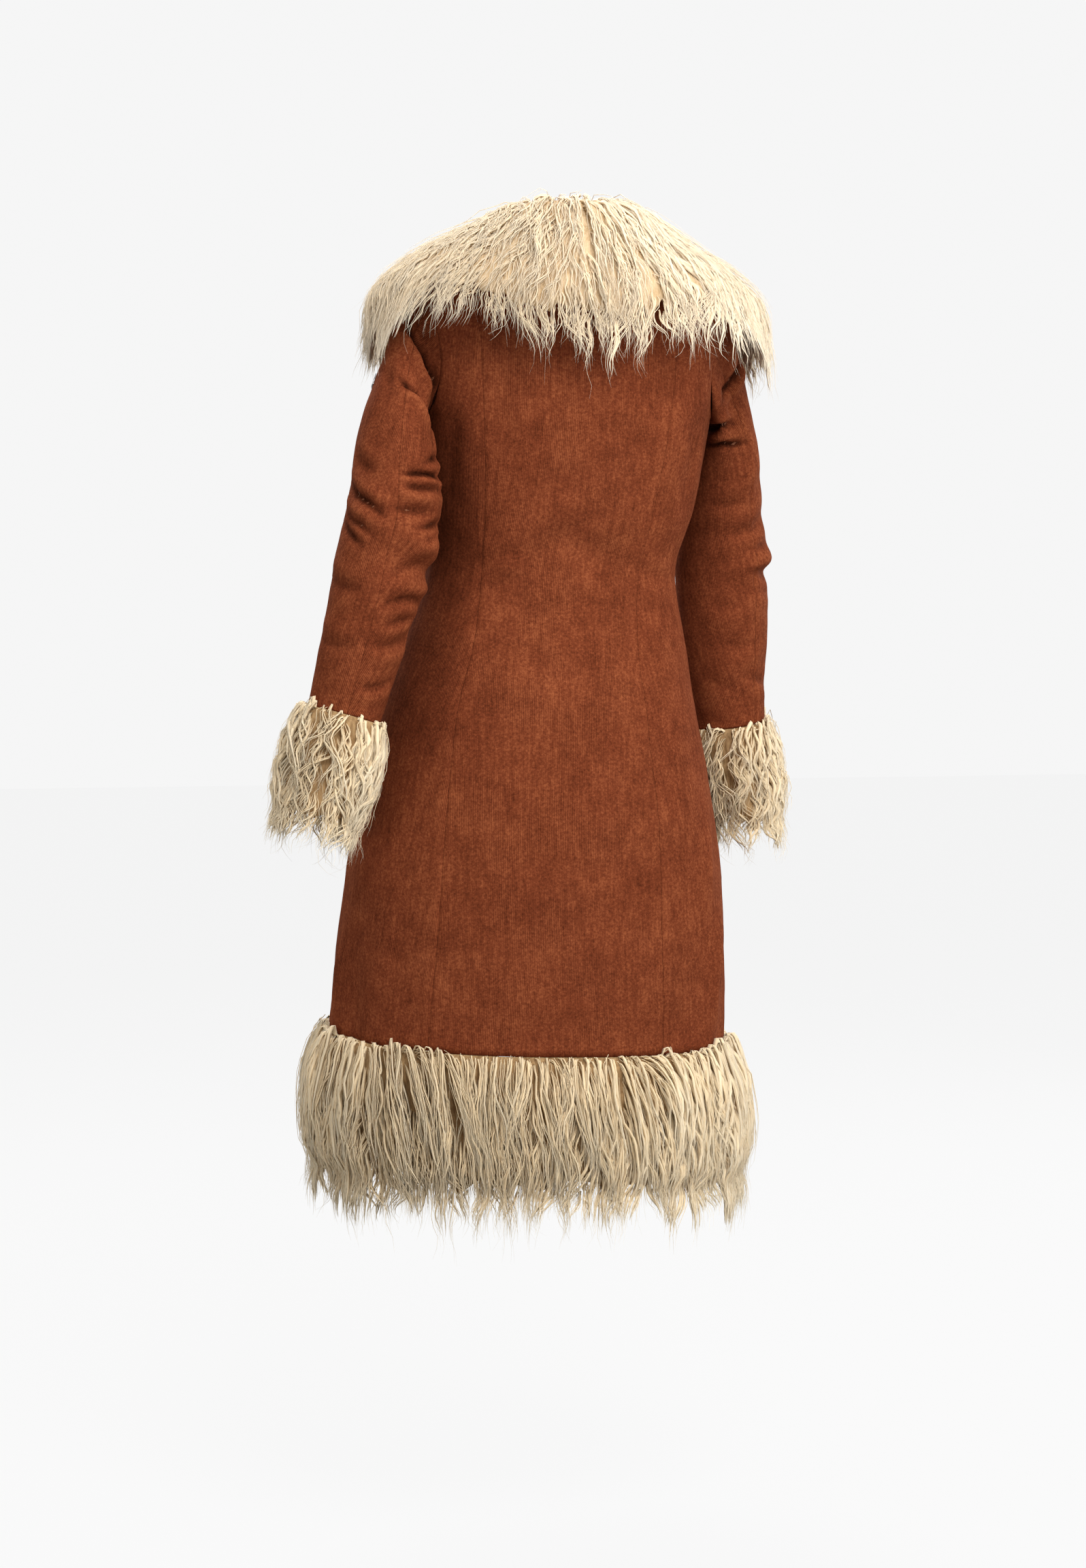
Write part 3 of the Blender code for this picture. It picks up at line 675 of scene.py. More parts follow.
def armholeRing(side, turn):
    turn = turn - math.radians(sleeveCut["pitch"][side])
    power = bodyCut["armholeSquareness"]
    low, high = bodyCut["underarm"], bodyCut["shoulder"]

    def place(at):
        reach = np.where(np.sin(at) >= 0, bodyCut["armholeBack"][side], -bodyCut["armholeFront"])
        bend = (1 - np.abs(np.cos(at)) ** power) ** (1 / power)
        angle = np.radians(reach) * bend
        return (angle if side == "left" else math.pi - angle), low + (high - low) * (1 + np.cos(at)) / 2

    angle, station = place(turn)
    normal = bodyNormal(angle, station)
    step = 0.02
    tangent = unit(bodyPoint(*place(turn + step)) - bodyPoint(*place(turn - step)))
    into = unit(np.cross(tangent, normal)) * sideSign[side]
    return bodyPoint(angle, station) + into * 2 * seamGap, normal, into


def armFrame(side, station):
    last, step = len(sleeveCut[side]) - 1, 1e-3
    ahead, behind = np.clip(station + step, 0, last), np.clip(station - step, 0, last)
    axes = ("x", "y", "height")
    middle = stack(*(armAt(side, axis, station) for axis in axes))
    down = unit(stack(*(armAt(side, axis, ahead) - armAt(side, axis, behind) for axis in axes)))
    outside = np.zeros_like(down)
    outside[..., 0] = sideSign[side]
    out = unit(outside - down * np.sum(outside * down, axis=-1, keepdims=True))
    return middle, down, out, sideSign[side] * np.cross(out, down)


def armRing(side, turn, station, grow=0.0):
    middle, down, out, back = armFrame(side, station)
    width = armAt(side, "halfWidth", station) + grow
    depth = armAt(side, "halfDepth", station) + grow
    return middle + out * (width * np.cos(turn))[..., None] + back * (depth * np.sin(turn))[..., None], down


def sleeveFolds(side, turn, station):
    push = np.zeros(turn.shape)
    for at, angle, spread, run, width, depth in sleeveCut["folds"][side]:
        swing = turnFrom(turn, math.radians(angle)) / math.radians(spread)
        push += depth * bell(swing, 1.0) * bell(station - at - run * swing, width)
    return push * np.clip(station * 4, 0, 1)  # none at the armhole seam


def sleevePlain(side, turn, station):
    start, normal, into = armholeRing(side, turn)
    first, down = armRing(side, turn, np.zeros_like(turn))
    top = (1 + np.cos(turn - math.radians(sleeveCut["pitch"][side]))) / 2
    high = np.clip(top / sleeveCut["capTop"], 0, 1)[..., None]
    high = high * high * (3 - 2 * high)
    outward, downward = sleeveCut["capLow"]
    low = (normal * outward + down * downward) * (1 - high)
    leave = sleeveCut["capStart"] * unit(into * high + low)
    cap = hermite(start, leave, first, down * sleeveCut["capEnd"], np.clip(station, 0, 1)[..., None])
    arm, _ = armRing(side, turn, np.clip(station - 1, 0, None))
    return np.where((station < 1)[..., None], cap, arm)


def sleeveNormal(side, turn, station, point):
    step = 0.08
    last = len(sleeveCut[side])
    around = point(side, turn + step, station) - point(side, turn - step, station)
    ahead = point(side, turn, np.clip(station + step, 0, last))
    behind = point(side, turn, np.clip(station - step, 0, last))
    return sideSign[side] * unit(np.cross(ahead - behind, around))


def sleevePoint(side, turn, station):
    push = sleeveFolds(side, turn, station)[..., None]
    return sleevePlain(side, turn, station) + push * sleeveNormal(side, turn, station, sleevePlain)


def gridNormal(points, like):
    normal = unit(np.cross(np.gradient(points, axis=0), np.gradient(points, axis=1)))
    return normal * (1 if np.sum(normal * like) > 0 else -1)


creases = {  # on the body: X on the back or angle round it, height. Width and depth in metres
    "back": [
        ([(0.075, -0.373), (0.020, -0.335), (-0.035, -0.300)], 0.014, -0.0026),
        ([(0.095, -0.348), (0.030, -0.304), (-0.020, -0.278)], 0.013, 0.0020),
        ([(-0.055, -0.360), (-0.088, -0.383), (-0.122, -0.390)], 0.009, -0.0024),
        ([(0.128, -0.404), (0.090, -0.388), (0.058, -0.381)], 0.009, -0.0022),
        ([(0.120, -0.365), (0.088, -0.358), (0.066, -0.361)], 0.008, -0.0016),
        ([(-0.040, -0.415), (-0.080, -0.424), (-0.125, -0.418)], 0.011, -0.0014),
        ([(0.060, -0.425), (0.010, -0.412), (-0.030, -0.417)], 0.013, -0.0013),
        ([(0.100, -0.712), (0.020, -0.718), (-0.070, -0.712)], 0.008, -0.0013),
        ([(0.085, -0.748), (0.010, -0.740), (-0.090, -0.752)], 0.016, 0.0012),
        ([(0.060, -0.905), (0.020, -0.893), (-0.005, -0.905)], 0.009, -0.0018),
        ([(-0.020, -0.200), (-0.060, -0.222), (-0.085, -0.250)], 0.016, -0.0014),
        ([(0.105, -0.165), (0.085, -0.215), (0.080, -0.260)], 0.014, -0.0014),
        ([(-0.110, -0.150), (-0.095, -0.200), (-0.098, -0.245)], 0.014, -0.0014),
        ([(-0.160, -0.640), (-0.152, -0.730), (-0.148, -0.800)], 0.011, 0.0036),
        ([(-0.176, -0.735), (-0.162, -0.850), (-0.158, -0.936)], 0.012, 0.0040),
        ([(0.225, -0.770), (0.232, -0.820), (0.240, -0.880)], 0.012, 0.0032),
        ([(0.190, -0.620), (0.200, -0.700), (0.212, -0.760)], 0.016, -0.0020),
    ],
    "round": [
        ([(-20, -0.372), (-48, -0.392), (-72, -0.380)], 0.012, -0.0024),
        ([(-24, -0.402), (-45, -0.418), (-70, -0.412)], 0.013, 0.0018),
        ([(200, -0.366), (226, -0.388), (252, -0.378)], 0.012, -0.0024),
        ([(206, -0.400), (226, -0.414), (248, -0.410)], 0.013, 0.0018),
        ([(-60, -0.180), (-52, -0.235), (-40, -0.290)], 0.016, -0.0018),
        ([(240, -0.176), (232, -0.240), (220, -0.286)], 0.016, -0.0018),
        ([(-30, -0.610), (-36, -0.740), (-40, -0.880)], 0.016, 0.0030),
        ([(-76, -0.560), (-74, -0.700), (-76, -0.860)], 0.018, -0.0024),
        ([(212, -0.600), (216, -0.730), (220, -0.870)], 0.016, 0.0030),
        ([(256, -0.570), (254, -0.690), (255, -0.850)], 0.018, -0.0024),
        ([(10, -0.350), (2, -0.383), (-14, -0.398)], 0.009, -0.0006),
        ([(38, -0.185), (36, -0.240), (34, -0.300)], 0.012, -0.0034),
        ([(146, -0.190), (147, -0.250), (148, -0.310)], 0.012, -0.0030),
        ([(170, -0.352), (178, -0.380), (192, -0.394)], 0.009, -0.0022),
    ],
    "left": [  # on the sleeves: turn from the outside to the back, height
        ([(186, -0.190), (156, -0.158), (116, -0.128), (75, -0.093), (58, -0.070)], 0.0065, -0.0117),
        ([(178, -0.214), (132, -0.183), (89, -0.160), (74, -0.148)], 0.0060, -0.0097),
        ([(41, -0.141), (64, -0.155), (85, -0.172)], 0.0100, -0.0052),
        ([(158, -0.196), (166, -0.236), (166, -0.282), (172, -0.336)], 0.0060, -0.0047),
        ([(186, -0.244), (150, -0.247), (116, -0.253)], 0.0060, -0.0059),
        ([(196, -0.272), (150, -0.266), (118, -0.263), (88, -0.263)], 0.0050, -0.0083),
        ([(186, -0.282), (140, -0.279), (110, -0.277), (88, -0.271)], 0.0075, -0.0065),
        ([(150, -0.307), (104, -0.304), (62, -0.300)], 0.0095, -0.0068),
        ([(196, -0.322), (150, -0.323), (108, -0.327)], 0.0065, -0.0068),
        ([(186, -0.332), (140, -0.337), (108, -0.346)], 0.0065, -0.0047),
        ([(-6, -0.268), (30, -0.286), (56, -0.297), (88, -0.319)], 0.0070, -0.0073),
        ([(-6, -0.300), (30, -0.315), (47, -0.321), (72, -0.336)], 0.0070, -0.0068),
        ([(-8, -0.312), (24, -0.327), (42, -0.336), (62, -0.348)], 0.0065, -0.0055),
        ([(10, -0.240), (38, -0.253), (62, -0.261)], 0.0090, -0.0039),
        ([(150, -0.365), (115, -0.371), (88, -0.380)], 0.0090, -0.0042),
        ([(176, -0.414), (140, -0.408), (115, -0.407), (92, -0.415)], 0.0080, -0.0052),
        ([(165, -0.424), (130, -0.431), (104, -0.436)], 0.0075, -0.0044),
        ([(168, -0.452), (125, -0.459), (90, -0.456)], 0.0090, -0.0044),
        ([(156, -0.500), (122, -0.507), (92, -0.504)], 0.0080, -0.0044),
        ([(-10, -0.380), (40, -0.392), (70, -0.395)], 0.0100, -0.0039),
        ([(-8, -0.448), (46, -0.459), (80, -0.459)], 0.0110, -0.0036),
        ([(-30, -0.300), (-58, -0.318), (-88, -0.322)], 0.0080, -0.0065),
        ([(-26, -0.346), (-56, -0.356), (-80, -0.352)], 0.0090, -0.0055),
        ([(250, -0.262), (225, -0.270), (200, -0.264)], 0.0080, -0.0057),
        ([(246, -0.410), (222, -0.418), (200, -0.412)], 0.0100, -0.0044),
    ],
    "right": [
        ([(-14, -0.122), (20, -0.143), (60, -0.164), (100, -0.184)], 0.0065, -0.0078),
        ([(154, -0.212), (120, -0.208), (90, -0.206), (60, -0.203)], 0.0055, -0.0078),
        ([(144, -0.231), (110, -0.230), (78, -0.228), (44, -0.225)], 0.0060, -0.0070),
        ([(6, -0.392), (44, -0.384), (84, -0.374)], 0.0085, -0.0036),
        ([(6, -0.346), (40, -0.354), (78, -0.357)], 0.0080, -0.0036),
        ([(6, -0.528), (44, -0.518), (80, -0.509)], 0.0085, -0.0038),
        ([(10, -0.412), (46, -0.407), (76, -0.409)], 0.0085, -0.0036),
        ([(70, -0.296), (95, -0.303), (122, -0.300)], 0.0095, -0.0031),
        ([(20, -0.329), (60, -0.333), (94, -0.342)], 0.0085, -0.0039),
        ([(60, -0.416), (93, -0.426), (124, -0.420)], 0.0110, -0.0029),
        ([(40, -0.466), (75, -0.477), (108, -0.470)], 0.0110, -0.0031),
        ([(126, -0.516), (96, -0.527), (64, -0.523)], 0.0110, -0.0029),
        ([(-24, -0.302), (-52, -0.316), (-84, -0.318)], 0.0080, -0.0062),
        ([(-28, -0.352), (-54, -0.360), (-82, -0.354)], 0.0090, -0.0055),
        ([(232, -0.270), (212, -0.277), (186, -0.270)], 0.0080, -0.0052),
        ([(226, -0.430), (206, -0.436), (186, -0.430)], 0.0100, -0.0042),
    ],
}
creaseShape = {  # in shares of a crease's own width and depth
    "points": 48,  # along its line
    "near": 4.0,  # how far off it is worked out
    "hold": 3.0,  # and where it starts to fade
    "ends": 0.7,  # how soon it runs out at its ends
    "fold": 0.5,  # its sharp middle
    "lip": (1.6, 1.1, 0.6),  # roll on one side: place, width, height
    "tone": (0.65, 0.35),  # width of the painted crease shade, and the lip's part in it, painted lighter
    "steep": (0.15, 1.15),  # slope that the tone starts from, and its gain
    "toneRange": (0.05, 1.4),
}
stationLine = np.linspace(0, bodyCut["neckline"], 700)
heightLine = bodyAt("height", stationLine)


def bodySpot(kind, first, height):
    station = np.array([np.interp(height, heightLine, stationLine)])
    if kind == "back":
        share = (first - bodyAt("sway", station)) / bodyAt("halfWidth", station)
        angle = np.arccos(np.clip(signedPower(share, bodyCut["roundness"] / 2), -1, 1))
    else:
        angle = np.radians([float(first)])
    return bodyPoint(angle, station)[0]


def sleeveSpot(side, turnDegrees, height):
    stations = np.linspace(0.02, len(sleeveCut[side]), 400)
    points = sleevePoint(side, np.full(len(stations), math.radians(turnDegrees)), stations)
    return points[np.argmin(np.abs(points[:, 2] - height))]


def tracedLine(points):  # a smooth line through a few placed points
    points = np.array(points)
    rows = np.linspace(0, len(points) - 1, creaseShape["points"])
    return np.stack([along(points[:, k], rows) for k in range(3)], axis=-1)


creaseLines = {"body": [], "left": [], "right": []}
for kind in ("back", "round"):
    for spots, width, depth in creases[kind]:
        creaseLines["body"].append((tracedLine([bodySpot(kind, *s) for s in spots]), width, depth))
for side in sideSign:
    for spots, width, depth in creases[side]:
        creaseLines[side].append((tracedLine([sleeveSpot(side, *s) for s in spots]), width, depth))
print("creases", {place: len(placed) for place, placed in creaseLines.items()})
fullTurn = 6.28  # for phases drawn by chance


def waveSum(points, count, shortest, longest, seed):  # soft unevenness, the same at both sides of a seam
    chance = np.random.RandomState(seed)
    total = np.zeros(points.shape[:-1])
    for _ in range(count):
        way = unit(chance.normal(size=3))
        wave = points @ way * 2 * math.pi / chance.uniform(shortest, longest)
        total += np.sin(wave + chance.uniform(0, fullTurn))
    return total / math.sqrt(count)


def creasePush(points, normals, lines):
    flat, faces = points.reshape(-1, 3), normals.reshape(-1, 3)
    push, paintedCreaseShading = np.zeros(len(flat)), np.zeros(len(flat))
    lipPlace, lipWidth, lipHeight = creaseShape["lip"]
    toneWidth, toneLip = creaseShape["tone"]
    steepFrom, steepGain = creaseShape["steep"]
    faintest, strongest = creaseShape["toneRange"]
    for line, width, depth in lines:
        margin = creaseShape["near"] * width
        near = np.all((flat > line.min(0) - margin) & (flat < line.max(0) + margin), axis=1)
        if not near.any():
            continue
        gap = flat[near][:, None] - line[None]
        reach = np.linalg.norm(gap, axis=-1)
        pick = reach.argmin(1)
        each = np.arange(len(pick))
        away = reach[each, pick]
        tangent = unit(np.gradient(line, axis=0))[pick]
        side = np.sum(gap[each, pick] * np.cross(faces[near], tangent), axis=-1)
        fade = np.sin(np.clip(pick / (len(line) - 1), 0.0, 1.0) * math.pi) ** creaseShape["ends"]
        fade = fade * np.exp(-np.maximum(away - creaseShape["hold"] * width, 0) / width)
        signed = np.where(side >= 0, away, -away)
        core = 0.5 * bell(signed, width) + 0.5 * np.exp(-np.abs(signed) / (creaseShape["fold"] * width))
        lip = bell(signed - lipPlace * width, lipWidth * width)
        push[near] += depth * fade * (core - lipHeight * lip)
        # painted shade along a crease and a painted highlight on its lip, the other way round for a ridge
        tone = np.sign(depth) * fade * (bell(signed, toneWidth * width) - toneLip * lip)
        paintedCreaseShading[near] += tone * min(max((abs(depth) / width - steepFrom) * steepGain, faintest), strongest)
    return push.reshape(points.shape[:-1]), paintedCreaseShading.reshape(points.shape[:-1])


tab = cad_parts["sleeve_tab"]
tabSpot = np.mean([tab.matrix_world @ v.co for v in tab.data.vertices], axis=0)

panelSettings = {
    "pitch": 0.008,  # between columns of the body
    "skirtRows": 42,
    "waistRows": 62,
    "armholeRows": 34,
    "shoulderRows": 16,
    "sleevePitch": 0.0044,
    "armholeSeamRows": [0, 0.006, 0.014, 0.026],
    "capRowsFrom": 0.04,
    "capRows": 64,
    "armRows": 118,
    "armRadius": 0.052,
    "sleeveLean": 0.16,  # the grain turns a little round the arm
    "seamColumns": np.array([0.0, 0.0009, 0.0022, 0.0042, 0.0075]),  # close together by a seam
}
panelRelief = {  # in metres. Waves are count, shortest, longest, seed and height
    "waves": [(7, 0.07, 0.16, 4, 0.0007), (8, 0.028, 0.06, 9, 0.00028)],
    "pucker": (6, 0.012, 0.03, 12, 0.00045),
    "puckerReach": 0.010,
    "seamDip": (-0.0004, 0.0012),  # height, width
    "seamRoll": (0.0003, 0.006, 0.004),  # height, place, width
    "creaseEase": 0.012,  # a crease is half as deep on a seam
    "tabCalm": 0.022,  # the cloth lies flat under the tab
    # how strongly the crease shade and lip highlight are painted
    "paintedCreaseGain": 0.66,
    "dipTone": -0.05,
    # painted highlight on the roll beside each seam: tone, width
    "paintedRollHighlight": (0.06, 0.003),  # tone, width
}


def spread(width, pitch):  # shares across a panel: close together at the seams, an odd count
    seam = panelSettings["seamColumns"]
    middle = max(2 * round((width - 2 * seam[-1]) / pitch / 2), 2)
    inner = np.linspace(seam[-1], width - seam[-1], middle + 1)[1:-1]
    return np.concatenate([seam, inner, width - seam[::-1]]) / width


def oddRows(rows):
    return rows if len(rows) % 2 else np.delete(rows, len(rows) // 2)


def seamDistance(points, topSeam):
    run = runAlong(points, 1)
    gap = np.minimum(run, run[:, -1:] - run)
    if topSeam:
        gap = np.minimum(gap, runAlong(points, 0))
    return gap, run - run[:, -1:] / 2


def gridFaces(index):
    return np.stack([index[:-1, :-1], index[:-1, 1:], index[1:, 1:], index[1:, :-1]], -1).reshape(-1, 4)


def gridRim(index):  # once round the edge of a grid
    return np.concatenate([index[0, :-1], index[:-1, -1], index[-1, :0:-1], index[:0:-1, 0]])


def bothWalls(values):  # the outer wall, then the inner wall, which is half as fine
    return np.concatenate([values.ravel(), values[::2, ::2].ravel()])


def shapePanel(outer, like, lines, gap):  # creases, unevenness and seams
    normal = gridNormal(outer, like)
    push, paintedCreaseShading = creasePush(outer, normal, lines)
    calm = 1 - np.exp(-((np.linalg.norm(outer - tabSpot, axis=-1) / panelRelief["tabCalm"]) ** 4))
    soft = sum(waveSum(outer, *wave) * height for *wave, height in panelRelief["waves"])
    *wave, height = panelRelief["pucker"]
    pucker = waveSum(outer, *wave) * height * bell(gap, panelRelief["puckerReach"])
    dip, dipWidth = panelRelief["seamDip"]
    rise, risePlace, riseWidth = panelRelief["seamRoll"]
    roll = dip * bell(gap, dipWidth) + rise * bell(gap - risePlace, riseWidth)
    ease = 0.5 + 0.5 * np.clip(gap / panelRelief["creaseEase"], 0, 1)
    outer = outer + normal * ((push * ease + soft + pucker) * calm + roll)[..., None]
    # the cloth's tone: painted crease shade and highlight, a darker line along each seam, and a painted
    # highlight on the roll beside it
    paintedRollHighlight, toneWidth = panelRelief["paintedRollHighlight"]
    shade = paintedCreaseShading * panelRelief["paintedCreaseGain"] + panelRelief["dipTone"] * bell(gap, dipWidth)
    return outer, shade + paintedRollHighlight * bell(gap - risePlace, toneWidth)


def makePanel(name, outer, like, lines, lean, topSeam):
    rows, columns = outer.shape[:2]
    gap, across = seamDistance(outer, topSeam)
    down = runAlong(outer[:, columns // 2], 0)[:, None] * np.ones((1, columns))
    outer, shade = shapePanel(outer, like, lines, gap)
    normal = gridNormal(outer, like)
    inner = (outer - clothWall * normal)[::2, ::2]

    front = np.arange(rows * columns).reshape(rows, columns)
    back = np.arange(inner.size // 3).reshape(inner.shape[:2]) + rows * columns
    quads, lining = gridFaces(front), gridFaces(back)[:, [0, 3, 2, 1]]
    rim, hem = gridRim(front), gridRim(back)
    edge = []
    for k in range(len(hem)):
        a, b, c = rim[2 * k], rim[2 * k + 1], rim[(2 * k + 2) % len(rim)]
        p, q = hem[k], hem[(k + 1) % len(hem)]
        edge += [(b, a, p), (c, b, q), (b, p, q)]
    first = outer.reshape(-1, 3)[quads[0]]
    facing = np.cross(first[1] - first[0], first[2] - first[0]) @ normal.reshape(-1, 3)[quads[0][0]]
    if facing < 0:
        quads, lining = quads[:, ::-1], lining[:, ::-1]
        edge = [e[::-1] for e in edge]
    points = np.concatenate([outer.reshape(-1, 3), inner.reshape(-1, 3)])
    faces = [tuple(map(int, f)) for wall in (quads, lining, edge) for f in wall]
    mesh = bpy.data.meshes.new(name)
    mesh.from_pydata(points.tolist(), [], faces)
    mesh.materials.append(rustSuede)
    mesh.materials.append(clothBack)
    material = np.zeros(len(faces), np.int32)
    material[len(quads):len(quads) + len(lining)] = 1
    mesh.polygons.foreach_set("material_index", material)
    mesh.shade_smooth()
    corner = np.zeros(len(mesh.loops), np.int32)
    mesh.loops.foreach_get("vertex_index", corner)
    grain = np.stack([bothWalls(across + lean * down), bothWalls(down)], -1)[corner]
    mesh.uv_layers.new(name="grain").uv.foreach_set("vector", grain.astype(np.float32).ravel())
    # painted shade and highlights with the darker seam line, stored for the cloth's colour
    tone = bothWalls(shade).astype(np.float32)
    mesh.attributes.new("paintedShadeAndSeamLine", "FLOAT", "POINT").data.foreach_set("value", tone)
    mesh.update()
    return addObject(name, mesh)


hip, underarm, shoulder, neckline = 3, bodyCut["underarm"], bodyCut["shoulder"], bodyCut["neckline"]
bodyStations = oddRows(np.concatenate([  # closer together at both ends of the armhole
    np.linspace(0, hip, panelSettings["skirtRows"])[:-1],
    np.linspace(hip, underarm, panelSettings["waistRows"])[:-1],
    underarm + (1 - np.cos(np.linspace(0, math.pi, panelSettings["armholeRows"])))[:-1],
    np.linspace(shoulder, neckline, panelSettings["shoulderRows"]),
]))


def makeBodyPanel(name, start, end):
    edges = [start(bodyStations), end(bodyStations)]
    turn = np.sign(edges[1] - edges[0]).mean()
    for k, inward in ((0, 1), (1, -1)):
        around, _ = bodySlopes(edges[k], bodyStations)
        edges[k] = edges[k] + inward * turn * sewnGap / 2 / np.linalg.norm(around, axis=-1)

    def between(shares):
        angle = edges[0][:, None] + (edges[1] - edges[0])[:, None] * shares
        return angle, bodyStations[:, None] * np.ones_like(angle)

    span = bodyPoint(*between(np.linspace(0, 1, 40)))
    width = np.linalg.norm(np.diff(span, axis=1), axis=-1).sum(1).mean()
    angle, station = between(spread(width, panelSettings["pitch"]))
    like = bodyNormal(angle, station)
    return makePanel(name, bodyPoint(angle, station), like, creaseLines["body"], 0.0, False)


def makeSleevePanel(name, side, start, end):
    rows = oddRows(np.concatenate([
        panelSettings["armholeSeamRows"],
        np.linspace(panelSettings["capRowsFrom"], 1, panelSettings["capRows"])[:-1],
        np.linspace(1, len(sleeveCut[side]), panelSettings["armRows"]),
    ]))
    half = sewnGap / 2 / sleeveCut[side][-1, 3]
    wide = math.radians(end - start)
    shares = spread(wide * panelSettings["armRadius"], panelSettings["sleevePitch"])
    turn, station = np.meshgrid(math.radians(start) + half + (wide - 2 * half) * shares, rows)
    like = sleeveNormal(side, turn, station, sleevePoint)
    outer = sleevePoint(side, turn, station)
    return makePanel(name, outer, like, creaseLines[side], panelSettings["sleeveLean"], True)


cloth = {}
cloth["back_centre"] = makeBodyPanel("backCentrePanel", princessAngle, mirrored(princessAngle, "right"))
for side in sideSign:
    title = side.capitalize()
    backEdge = mirrored(lambda s: armholeAngle(s, bodyCut["armholeBack"][side]), side)
    frontEdge = mirrored(lambda s: -armholeAngle(s, bodyCut["armholeFront"]), side)
    cloth[f"back_side_{side}"] = makeBodyPanel(f"backSide{title}Panel", backEdge, mirrored(princessAngle, side))
    cloth[f"front_{side}"] = makeBodyPanel(f"front{title}Panel", mirrored(frontAngle, side), frontEdge)
    back, front = sleeveCut["backSeam"][side], sleeveCut["frontSeam"][side]
    cloth[f"sleeve_{side}_upper"] = makeSleevePanel(f"sleeve{title}Upper", side, front - 360, back)
    cloth[f"sleeve_{side}_under"] = makeSleevePanel(f"sleeve{title}Under", side, back, front)

paintedContactShade = {  # painted shade where arm and body hang close together
    "reach": 0.060,
    "body": -0.32,
    "arms": -0.10,
    "from": -0.15,  # heights
    "to": -0.23,
}


# paints shade on panels near the other parts: none above the first height, full below the second
def paintContactShade(panels, others, darkest):
    spots = [v.co for other in others for v in other.data.vertices]
    tree = kdtree.KDTree(len(spots))
    for k, spot in enumerate(spots):
        tree.insert(spot, k)
    tree.balance()
    for panel in panels:
        tone = panel.data.attributes["paintedShadeAndSeamLine"].data
        for vertex in panel.data.vertices:
            low = (paintedContactShade["from"] - vertex.co.z) / (paintedContactShade["from"] - paintedContactShade["to"])
            if low > 0:
                gap = tree.find(vertex.co)[2]
                tone[vertex.index].value += darkest * min(low, 1) * math.exp(-((gap / paintedContactShade["reach"]) ** 2))


arms = [panel for node, panel in cloth.items() if node.startswith("sleeve")]
trunk = [panel for node, panel in cloth.items() if not node.startswith("sleeve")]
paintContactShade(trunk, arms, paintedContactShade["body"])
paintContactShade(arms, trunk, paintedContactShade["arms"])

for node, panel in cloth.items():
    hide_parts(node)
    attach(panel, "root")
print("cloth panels", sum(len(p.data.polygons) for p in cloth.values()), "faces")

# the tab keeps its own solid
tab.data.materials.clear()
tab.data.materials.append(satinSteel)


pileBack = 0.002
hemPile = {
    "sections": np.array([  # drop from the seam, widening of the backing, how thick the pile stands
        (0.000, 0.000, 0.004),
        (0.012, 0.001, 0.022),
        (0.045, 0.002, 0.031),
        (0.095, 0.004, 0.033),
        (0.135, 0.006, 0.028),
        (0.158, 0.007, 0.014),
    ]),
    "ground": 0.42,  # height of the woolly ground in the pile
    "hang": (0.012, 0.068),  # shortest and longest lock below the band
    "density": 12400,  # locks on a square metre
    "topCrowd": 5.0,  # how much closer they stand at the seam
    "topReach": 0.010,
    "lowCrowd": 0.8,  # and at the lower edge
    "layer": (0.36, 1.04),  # how high in the pile a lock lies
    "tuft": 0.018,
    "gather": 0.62,  # how far the locks of a tuft close up
    "gatherLate": 1.3,  # higher closes them nearer the tip
    "length": (0.080, 0.160),
    "halfWidth": (0.0020, 0.0046),
    "wave": 0.0016,
    "bend": 0.007,
    "waveLength": (0.034, 0.060),
    "lean": 0.24,  # sideways, tuft by tuft
    "loose": 0.06,  # and lock by lock
    "points": 13,
    "arch": 0.026,  # how far the locks at the seam rise over it
}
cuffPile = {
    "sections": np.array([
        (0.000, 0.000, 0.005),
        (0.010, 0.000, 0.014),
        (0.036, 0.000, 0.018),
        (0.076, 0.001, 0.017),
        (0.110, 0.001, 0.012),
        (0.124, 0.001, 0.006),
    ]),
    "ground": 0.34,
    "hang": (0.008, 0.044),
    "density": 11200,
    "topCrowd": 4.0,
    "topReach": 0.010,
    "lowCrowd": 0.8,
    "layer": (0.30, 1.10),
    "tuft": 0.013,
    "gather": 0.35,
    "gatherLate": 1.3,
    "length": (0.060, 0.115),
    "halfWidth": (0.0020, 0.0048),
    "wave": 0.0040,
    "bend": 0.009,
    "waveLength": (0.030, 0.046),
    "lean": 0.16,
    "loose": 0.05,
    "points": 15,
    "arch": 0.028,
}
